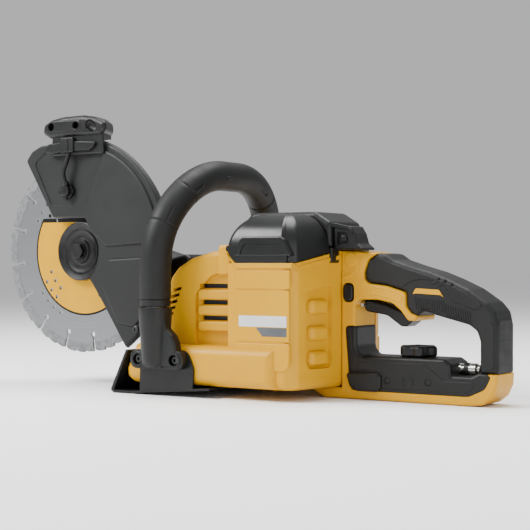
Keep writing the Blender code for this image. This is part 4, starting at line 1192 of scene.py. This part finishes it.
def build_cover():
    """The domed cover: its foot follows the box's rim, the near side bulges, the ends are hipped."""
    high = node_box("top_cover")[1]
    rim = high.z - 1.0
    foot = rounded([(231.2, BOX_NEAR - 0.4), (300, BOX_NEAR - 0.4), (311.5, -42.0), (322.5, 2.0),
            (231.2, 2.0)], [8, 8, 10, 1, 1], 6)
    crown = rounded([(261, -15), (284, -15), (286.5, -13), (288, 2.0), (261, 2.0)], [4, 3, 3, 1, 1], 6)
    rings = []
    for i in range(19):
        turn = math.pi / 2 * i / 18
        ease = 1 - math.cos(turn)
        ring = []
        for (x0, y0), (x1, y1) in zip(foot, crown):
            base = -1.0
            if x0 > 303:
                base = -13.8 + (y0 + 46) * 11 / 48
            elif x0 > 296:
                base = -1.0 - 12.8 * (x0 - 296) / 7
            ring.append(Vector((x0 + (x1 - x0) * ease, y0 + (y1 - y0) * ease,
                    base + (rim - base) * math.sin(turn))))
        rings.append(ring)
    dome = skin_rings(rings)
    skirt_side = rounded([(231.2, -1), (236, -8), (243, BOX_TOP + 0.3), (304, BOX_TOP + 0.3), (304, 4),
            (231.6, 4)], [1, 3, 4, 0, 0, 2], 4)
    skirt = moulded("Y", BOX_NEAR - 0.4, 2.0, skirt_side, 1.0, 0, 3)
    frame_pad = rounded([(241, -7), (248.5, 9.5), (252, 12.5), (297, 12.5), (301.5, 9.5), (310, -7)],
            [2, 4, 4, 4, 4, 2], 5)
    inner = rounded([(248, -5.5), (253.5, 4), (256, 5.5), (293, 5.5), (296, 4), (303, -5.5)], 2.5, 4)
    pad = moulded("Y", BOX_NEAR - 1.2, BOX_NEAR + 16, frame_pad, 1.6, 0, 4)
    pad = cut(pad, moulded("Y", BOX_NEAR - 4, BOX_NEAR - 0.1, inner))
    top = moulded("Z", rim - 1, high.z - 0.2, rounded(rect(262, 286, -13.5, 1.5), 3, 4), 0, 0.8, 3)
    make("cover_dome", gathered(dome, skirt, pad, top), DOME, "chassis", ("top_cover",), 26)


def build_battery():
    """The battery, its latch and the dock with its catch and far-side cover."""
    low, high = node_box("battery_pack")
    side_view = rounded([(216, 9), (216, 29), (226, high.z), (303, high.z), (322, 27), (322, low.z),
            (232, low.z)], [5, 5, 8, 10, 7, 3, 5], 6)
    body = moulded("Y", low.y, high.y, side_view, 5.0, 5.0, 6)
    body = cut(body, moulded("X", 311.4, 330, rounded(rect(37.6, 58.4, 8.0, 22.0), 2, 3)), moulded("Z",
            high.z - 1.2, high.z + 4, rounded(rect(240, 294, 16, 56), 6, 5)))
    seed = moulded("Z", high.z - 2.0, high.z - 0.3, rounded(rect(247, 249.6, 22, 50), 1.2, 3), 0, 0.6, 2)
    ribs = repeated(seed, 6, BLACK, move=(8.0, 0, 0))
    field = moulded("Y", low.y - 0.5, low.y + 1, rounded([(238, 8), (238, 27), (246, 32), (298, 32),
            (308, 22), (308, 8)], 4, 4), 0.5, 0, 2)
    make("battery_case", gathered(body, ribs, field), BLACK, "battery", ("battery_pack",), 30)
    low, high = node_box("battery_latch")
    pad = moulded("X", low.x, high.x, rounded(rect(low.y, high.y, low.z, high.z), 3, 4), 0, 1.4, 3)
    line = moulded("X", high.x - 0.6, high.x + 0.5, rounded(rect(low.y + 3, high.y - 3, 10.9, 12.3), 0.6,
            2), 0, 0.4, 2)
    lines = repeated(line, 4, GRIP, move=(0, 0, 2.4))
    make("battery_latch_pad", gathered(pad, lines), GRIP, "battery_latch", ("battery_latch",), 34)
    low, high = node_box("battery_dock")
    plan = rounded([(231.5, 2.8), (324.6, 2.8), (324.6, 80), (300, 112), (290, 130.8), (231.5, 130.8)],
            [2, 2, 6, 6, 4, 4], 4)
    deck = moulded("Z", low.z + 0.2, 1.6, plan, 0.5, 0.8, 2)
    view = rounded([(322.6, -0.6), (322.6, 22), (330, 24), (342, 23.6), (347, 16), (350, 6), (356, 1.4),
            (356, -0.6)], [0.5, 4, 5, 5, 5, 5, 1.5, 0.5], 5)
    catch = moulded("Y", 8, 36, view, 3.0, 3.0, 5)
    window = rounded([(327, 4.5), (328, 18), (339, 17), (341.5, 5.5)], [3, 3, 3, 3], 4)
    catch = cut(catch, moulded("Y", 4, 10.4, window))
    nose = moulded("Y", 8.6, 11, rounded([(330, 7), (331, 14.5), (337, 14), (338.4, 8)], 2, 3), 1.2, 0, 3)
    hook = moulded("Y", 6.6, 9.4, rounded([(319.5, 23.6), (322.5, 27), (340, 23.6), (345, 19.5),
            (345.4, 15), (342.6, 15), (341.6, 18.6), (337.6, 20.4), (323.6, 22)],
            [1.5, 2, 3, 3, 1, 1, 2, 2, 1], 4), 0.8, 0, 2)
    wall = moulded("Y", 35, 60, rounded([(322.6, -0.6), (322.6, 24), (330, 24), (330, -0.6)],
            [0.5, 2, 3, 0.5], 4), 0.5, 2.0, 3)
    side_cover = rounded([(233, -5), (233, 20), (244, 30.6), (276, 30.6), (286, 20), (286, -5)],
            [2, 8, 10, 10, 8, 2], 5)
    side_cover = moulded("Y", 68.8, 130.8, side_cover, 4.0, 9.0, 6)
    seed = moulded("Y", 129.2, 131.4, rounded(rect(242, 277, 0.5, 2.3), 0.8, 2), 0, 0.6, 2)
    louvres = repeated(seed, 5, BLACK, move=(0, 0, 4.2))
    make("battery_bay", gathered(deck, catch, nose, hook, wall, side_cover, louvres), BLACK, "chassis",
         ("battery_dock",), 30)


# ---------------------------------------------------------------- rear handle

def frame_side():
    """The yellow frame from the side."""
    return rounded([(325.2, -1.0), (345, -1.6), (366, -4.2), (356.7, -10), (351.7, -23), (351.7, -30),
            (357, -34.2), (377, -36.4), (392, -40.8), (397.8, -43), (398.2, -56), (404, -63.4),
            (410.5, -65.2), (409.5, -70.6), (400.5, -70.6), (392.5, -60.8), (383, -53.5), (366, -50.2),
            (346, -50.5), (341.4, -55), (341.4, -100), (347, -108), (441, -108), (445.4, -112),
            (446, -123.5), (469, -123.5), (476.5, -119.4), (494.8, -119.4), (494, -131), (489, -142),
            (480, -149), (466, GROUND), (304, GROUND), (292, -144), (292, TUB_LOW - 0.2),
            (325.2, TUB_LOW - 0.2)], [1, 8, 0.5, 5, 6, 5, 5, 12, 8, 3, 5, 6, 2.5, 2.5, 5, 8, 10, 14, 5, 5,
            12, 8, 4, 3, 2, 4, 1, 1, 6, 8, 8, 10, 10, 3, 0.5, 0.5], 4)


def grip_side():
    """The black grip from the side: top of the handle and the rear post."""
    return rounded([(367, -3.8), (375, -4.6), (384, -10.5), (403, -16.5), (425, -22.5), (445, -30),
            (465, -39), (484, -51.5), (492, -60.5), (REAR_X - 0.3, -73), (REAR_X - 0.3, -119),
            (476.3, -119), (476.3, -89), (473, -79), (465, -73.2), (448, -69), (430, -64.6), (417, -60.6),
            (409.5, -66), (403.6, -63.6), (398.6, -56.6), (398.2, -42.7), (392, -40.4), (377, -36),
            (357, -33.8), (352.1, -30), (352.1, -23), (357, -10.2)], [4, 8, 8, 12, 20, 20, 20, 14, 10, 8,
            1, 1, 8, 8, 10, 20, 12, 6, 3, 5, 5, 3, 8, 12, 5, 6, 6, 5], 4)


def grip_palm():
    """The raised palm field along the grip's upper side."""
    return rounded([(358, -12), (372, -9), (383, -14), (403, -20.5), (425, -26.5), (445, -34),
            (465, -43.5), (481, -55), (473, -58.5), (449, -51), (442.5, -36.5), (428, -30.5), (413, -29.8),
            (402, -32.5), (394, -38.5), (377, -33.6), (359, -31), (355.5, -22)], [5, 8, 8, 14, 14, 14, 10,
            3, 6, 8, 8, 8, 10, 8, 8, 10, 4, 6], 4)


def build_frame():
    """The rear frame's two halves with their bezel field and neck boss."""
    for word, side in SIDES:
        half = pulled(side, GRIP_NEAR, SEAM, frame_side(), 2.6, 5)
        way = rounded([(342.5, -42), (372, -42), (394, -49), (402, -57), (404.6, -80), (342.5, -80)], 3, 3)
        slot = pulled(side, MID_Y - 13.6, MID_Y + 4, way)
        recess = pulled(side, GRIP_NEAR - 4, GRIP_NEAR + 2.2, grown(panel_side(), 0.35))
        button = pulled(side, GRIP_NEAR - 4, GRIP_NEAR + 8, rounded(rect(327.6, 340.4, -53.4, -33.6), 6, 6))
        tools = [slot, recess] + ([button] if side < 0 else [])
        half = cut(half, *tools)
        bezel = rounded([(360, -38.5), (377, -40), (391, -44.6), (394.6, -47), (394, -54), (381, -48.4),
                (366, -46), (359, -46)], [3, 8, 4, 3, 4, 8, 6, 3], 4)
        boss = circle(337, -10.2, 7.4, 40)
        rail = swept(smooth_path([(329, across(side, GRIP_NEAR + 0.2), -27), (338,
                across(side, GRIP_NEAR + 0.2), -24.5), (346, across(side, GRIP_NEAR + 0.2), -17.5), (349.5,
                across(side, GRIP_NEAR + 0.2), -9)], 8), 1.0, 10)
        extras = [pulled(side, GRIP_NEAR - 0.7, GRIP_NEAR + 1, bezel, 0.6, 3), pulled(side,
                GRIP_NEAR - 0.9, GRIP_NEAR + 1, boss, 0.7, 3), rail]
        make("rear_frame_" + word, gathered(half, *extras), YELLOW, "chassis", ("handle_frame_" + word,),
                34)


def build_grip():
    """The overmoulded rear grip: palm field, ribbed finger field, inlay, notches and rear pad."""
    far = 2 * MID_Y - GRIP_NEAR
    body = moulded("Y", GRIP_NEAR, far, grip_side(), 5.2, 5.2, 6)
    body = cut(body, moulded("Y", MID_Y - 13.6, MID_Y + 13.6, rounded(rect(388, 403.6, -80, -45.6), 2, 3)))
    parts = [body]
    for word, side in SIDES:
        parts.append(pulled(side, GRIP_NEAR - 0.8, GRIP_NEAR + 2, grip_palm(), 0.8, 4))
        seed_rib = pulled(side, GRIP_NEAR - 0.5, GRIP_NEAR + 1.4, rounded([(408.2, -47.2), (409.5, -47.2),
                (411.0, -59.0), (409.7, -59.0)], 0.5, 2), 0.5, 2)
        parts.append(repeated(seed_rib, 13, GRIP, move=(2.5, 0, -0.25)))
        low_rib = pulled(side, GRIP_NEAR - 0.5, GRIP_NEAR + 1.4, rounded([(440.6, -53.4), (441.9, -53.6),
                (443.4, -65.2), (442.1, -65.2)], 0.5, 2), 0.5, 2)
        parts.append(repeated(low_rib, 11, GRIP, move=(2.5, 0, -0.62)))
        post = rounded([(487, -68), (491.6, -74), (491.6, -113), (483, -117), (483, -76)], [3, 3, 3, 3, 3],
                4)
        parts.append(pulled(side, GRIP_NEAR - 0.6, GRIP_NEAR + 1.5, post, 0.6, 3))
    rear = moulded("X", REAR_X - 3, REAR_X - 0.05, rounded(rect(GRIP_NEAR + 5, far - 5, -117, -68), 4, 4),
            0, 1.0, 3)
    groove = moulded("Y", GRIP_NEAR, far, rounded(rect(REAR_X - 1.5, REAR_X + 3, -75.9, -74.3), 0.5, 2))
    grooves = [groove]
    for z in (-11.6, -23.2, -34.8):
        copy = groove.copy()
        bmesh.ops.translate(copy, verts=copy.verts[:], vec=(0, 0, z))
        grooves.append(copy)
    parts.append(cut(rear, *grooves))
    for x, z in ((431, -30.6), (438, -32.4), (445, -35.6)):
        for y in (GRIP_NEAR + 0.7, far - 0.7):
            parts.append(pill((x - 2.4, y, z - 2.6), (x + 2.2, y, z + 1.8), 1.7, 1.0, 12))
    make("rear_grip_skin", gathered(*parts), GRIP, "chassis", ("rear_grip",), 32)
    for word, side in SIDES:
        inlay = rounded([(406, -44.6), (409.5, -38.4), (434.5, -39.6), (440, -47.6), (436.4, -44.8),
                (409, -43.4)], [1, 2, 2, 1, 2, 2], 3)
        make("grip_inlay_" + word, pulled(side, GRIP_NEAR - 0.7, GRIP_NEAR + 1, inlay, 0.4, 2), YELLOW,
             "chassis")


def panel_side():
    """The black side panel on the lower bar."""
    return rounded([(330.5, -77), (340.6, -77), (340.6, -100), (346.6, -108.6), (440.4, -108.6),
            (444.8, -112.6), (445.2, -124.2), (469, -124.2), (476, -120.6), (489, -120.6), (482, -134),
            (465, -141.5), (337, -141.5), (334, -122)], [5, 0.5, 12, 8, 3, 3, 2, 4, 1, 3, 12, 14, 5, 12],
            5)


def saddle_side():
    """The black lining of the hand opening's front and floor, right across the bar."""
    return rounded([(331, -76.6), (342.8, -76.6), (342.8, -99.5), (348.6, -106.8), (439.6, -106.8),
            (446.6, -111.4), (447.2, -122.2), (468.4, -122.2), (475.6, -118.4), (487, -118.9), (480, -133),
            (464, -140.6), (338, -140.6), (335, -122)], [2, 3, 12, 8, 4, 3, 3, 4, 3, 2, 10, 10, 4, 10], 5)


def build_panels():
    """Lower panels with their step, bumper, studs and ring, and the lining between them."""
    far = 2 * MID_Y - GRIP_NEAR
    lining = moulded("Y", GRIP_NEAR - 0.35, far + 0.35, saddle_side(), 3.4, 3.4, 5)
    lining = cut(lining, turned((402, MID_Y, -100), (0, 0, -1), [(0, 5.0), (18, 5.0)], 32), moulded("Y",
            GRIP_NEAR + 3.5, far - 3.5, rounded([(349, -112), (437, -112), (437, -150), (349, -150)], 2,
            3)))
    make("bar_lining", lining, BLACK, "chassis", (), 32)
    for word, side in SIDES:
        base = pulled(side, GRIP_NEAR + 0.1, GRIP_NEAR + 2.0, panel_side(), 0.7, 3)
        field = rounded([(344, -112.6), (418, -111.8), (431, -120.6), (440, -127.6), (474, -127.6),
                (466, -138), (374, -138.5), (374, -122), (344, -120)], [3, 8, 5, 5, 3, 8, 3, 4, 3], 5)
        wells = [turned((x, across(side, GRIP_NEAR - 3), STUDS_Z), (0, -side, 0), [(0, 3.9), (4.4, 3.9)],
                32) for x in STUDS_X]
        raised = cut(pulled(side, GRIP_NEAR - 0.9, GRIP_NEAR + 1.5, field, 0.7, 3), *wells)
        cheek = pulled(side, GRIP_NEAR - 0.9, GRIP_NEAR + 1.2, rounded([(331.5, -78.5), (337.4, -78.5),
                (338.0, -100), (343, -110), (341, -121), (336, -121)], [2.5, 2.5, 8, 3, 3, 3], 5), 0.9, 3)
        bumper = rounded([(332, -126), (336, -122.4), (368, -122.4), (372, -126), (372, -138),
                (367, -142.4), (345, -142.4), (336, -138)], [4, 4, 4, 4, 4, 4, 6, 5], 5)
        bumper = pulled(side, GRIP_NEAR - 3.6, GRIP_NEAR + 1.5, bumper, 3.4, 6)
        studs = [turned((x, across(side, GRIP_NEAR + 1.2), STUDS_Z), (0, side, 0), [(-1, 3.1), (1.6, 3.1),
                (2.3, 2.4)], 28) for x in STUDS_X]
        ring = turned((401, across(side, GRIP_NEAR - 0.8), STUDS_Z), (0, side, 0), [(-1, 5.2), (0.3, 5.2),
                (0.5, 5.6), (0.3, 6.0), (-1, 6.0)], 48, True)
        make("lower_panel_skin_" + word, gathered(base, raised, cheek, bumper, ring, *studs), BLACK,
                "chassis", ("lower_panel_" + word,), 32)


def build_controls():
    """Trigger, lock-off button, water knob and hose coupler."""
    lever = rounded([(346, -51), (352, -50.4), (373, -55.5), (391, -63), (400, -67.4), (400.6, -71.5),
            (393, -77), (387.5, -76.6), (372, -66), (347, -62.4)], [3, 5, 10, 8, 3, 3, 3, 3, 14, 5], 6)
    trigger = moulded("Y", MID_Y - 11.6, MID_Y + 11.6, lever, 2.6, 2.6, 4)
    make("trigger_lever", trigger, BLACK, "trigger", ("trigger",), 34)
    low, high = node_box("lock_off_button")
    shape = rounded(rect(low.x, high.x, low.z, high.z), 5.2, 8)
    button = moulded("Y", low.y, high.y, shape, 1.6, 0, 5)
    button = cut(button, moulded("Y", low.y - 3, low.y + 0.6, grown(shape, -2.4), 0, 0.5, 2))
    make("lock_off_cap", button, BLACK, "lock_off_button", ("lock_off_button",), 34)
    low, high = node_box("water_valve_knob")
    centre = (low + high) / 2
    lobes = []
    for k in range(120):
        angle = 2 * math.pi * k / 120
        reach = 18.1 + 1.8 * math.cos(6 * angle)
        lobes.append((centre.x + reach * math.cos(angle), centre.y + reach * math.sin(angle)))
    wheel = moulded("Z", high.z - 10.5, high.z, lobes, 2.2, 3.2, 5)
    dimple = turned((centre.x, centre.y, high.z + 1), (0, 0, -1), [(0, 9), (2.2, 7.6)], 48)
    skirt = turned((centre.x, centre.y, high.z - 12.2), (0, 0, 1), [(0, 10.4), (1.0, 11.0), (4, 11.0)], 48)
    stem = turned((centre.x, centre.y, low.z), (0, 0, 1), [(0, 4.2), (16, 4.2)], 24)
    make("water_knob_wheel", gathered(cut(wheel, dimple), skirt, stem), BLACK, "water_knob",
         ("water_valve_knob",), 34)
    low, high = node_box("hose_coupler")
    mid_z = (low.z + high.z) / 2 - 1.0
    barrel = [(0, 3.2), (0, 5.0), (0.6, 5.6), (3.6, 5.6), (4.0, 4.8), (6.0, 4.8), (6.4, 6.0), (11.4, 6.0),
            (11.8, 5.2), (13.0, 5.2), (13.4, 6.1), (18.6, 6.1), (19.4, 5.4), (20.4, 4.6), (22.4, 4.6),
            (22.6, 4.2), (22.6, 3.2)]
    make("hose_coupler_barrel", turned((low.x, MID_Y, mid_z), (1, 0, 0), barrel, 48, True), NICKEL,
         "chassis", ("hose_coupler",), 30, "brass")
    sleeve = turned((low.x + 6.6, MID_Y, mid_z), (1, 0, 0), [(0, 5.9), (0, 6.3), (4.6, 6.3), (4.6, 5.9)],
            48, True)
    make("hose_coupler_sleeve", sleeve, BLACK, "chassis")
    low, high = node_box("spindle_lock_button")
    top = turned((0, 50, 0), (0, 0, 1), [(low.z, 4.0), (46, 4.0), (46, 8.6), (46.6, 9.0), (51, 9.0),
            (52.4, 8.2), (53, 6.6)], 40)
    make("spindle_lock_cap", top, BLACK, "spindle_lock", ("spindle_lock_button",), 34)


# ---------------------------------------------------------------- carried-over nodes

def dress_nodes():
    """Materials for the frame's own parts that keep their shape."""
    looks = {COAT: ("gear_case", "gear_case_cover", "controller_module"), COPPER: ("stator",),
            GEAR: ("bevel_gear", "pinion_gear", "rotor_core", "inner_flange"), ZINC: ("spindle",
            "motor_shaft", "motor_front_bearing", "motor_rear_bearing", "spindle_front_bearing",
            "spindle_rear_bearing", "trigger_pin", "front_handle_tube"), BLACK: ("cooling_fan",
            "rear_bearing_carrier", "switch_module", "terminal_block"), BRASS: ("water_valve_body",)}
    for look, names in looks.items():
        for name in names:
            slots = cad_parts[name].material_slots
            for slot in slots:
                slot.material = look


# ---------------------------------------------------------------- studio

# Camera place in mm, its turn about Z in degrees and its lens
CAMERA_AT = (987.8, -1121.0, -15.7)
CAMERA_TURN = 33.5
LENS_MM = 88.3
# Each light's name, place in mm, size in metres and power in watts
LIGHTS = (("key_light", (-700, -900, 1100), 0.7, 46), ("fill_light", (1500, -900, 400), 1.2, 9),
        ("top_light", (200, 300, 1500), 1.0, 40))
SKY_STRENGTH = 0.55


def area_light(name, place_mm, size_m, power, aim_mm):
    """A soft square light aimed at a point."""
    data = bpy.data.lights.new(name, "AREA")
    data.size = size_m
    data.energy = power
    lamp = bpy.data.objects.new(name, data)
    spot = HOME + Vector(place_mm) * MM
    aim = HOME + Vector(aim_mm) * MM
    lamp.location = spot
    lamp.rotation_euler = (aim - spot).to_track_quat("-Z", "Y").to_euler()
    bpy.context.scene.collection.objects.link(lamp)


def build_studio():
    """Camera, pale floor, soft lights and an even white surround."""
    data = bpy.data.cameras.new("camera")
    data.lens = LENS_MM
    data.sensor_width = 36.0
    data.clip_start = 0.05
    camera = bpy.data.objects.new("camera", data)
    camera.location = HOME + Vector(CAMERA_AT) * MM
    camera.rotation_euler = Euler((math.radians(90), 0, math.radians(CAMERA_TURN)))
    bpy.context.scene.collection.objects.link(camera)
    bpy.context.scene.camera = camera
    world = bpy.data.worlds.new("white_surround")
    world.use_nodes = True
    sky = world.node_tree.nodes["Background"]
    sky.inputs["Color"].default_value = (1.0, 1.0, 1.0, 1.0)
    sky.inputs["Strength"].default_value = SKY_STRENGTH
    bpy.context.scene.world = world
    centre = (190, 40, -40)
    for light in LIGHTS:
        area_light(*light, centre)
    floor = bmesh.new()
    bmesh.ops.create_grid(floor, x_segments=1, y_segments=1, size=20.0)
    item = loose_object("floor", floor)
    item.location.z = CAD_BOX[0][2] - 0.0005
    item.data.materials.append(studio_floor())


build_blade()
build_guard()
build_guard_fittings()
build_hoop()
build_brackets()
build_skid()
build_casing()
build_cover()
build_battery()
build_frame()
build_grip()
build_panels()
build_controls()
dress_nodes()
build_studio()

bpy.context.view_layer.update()
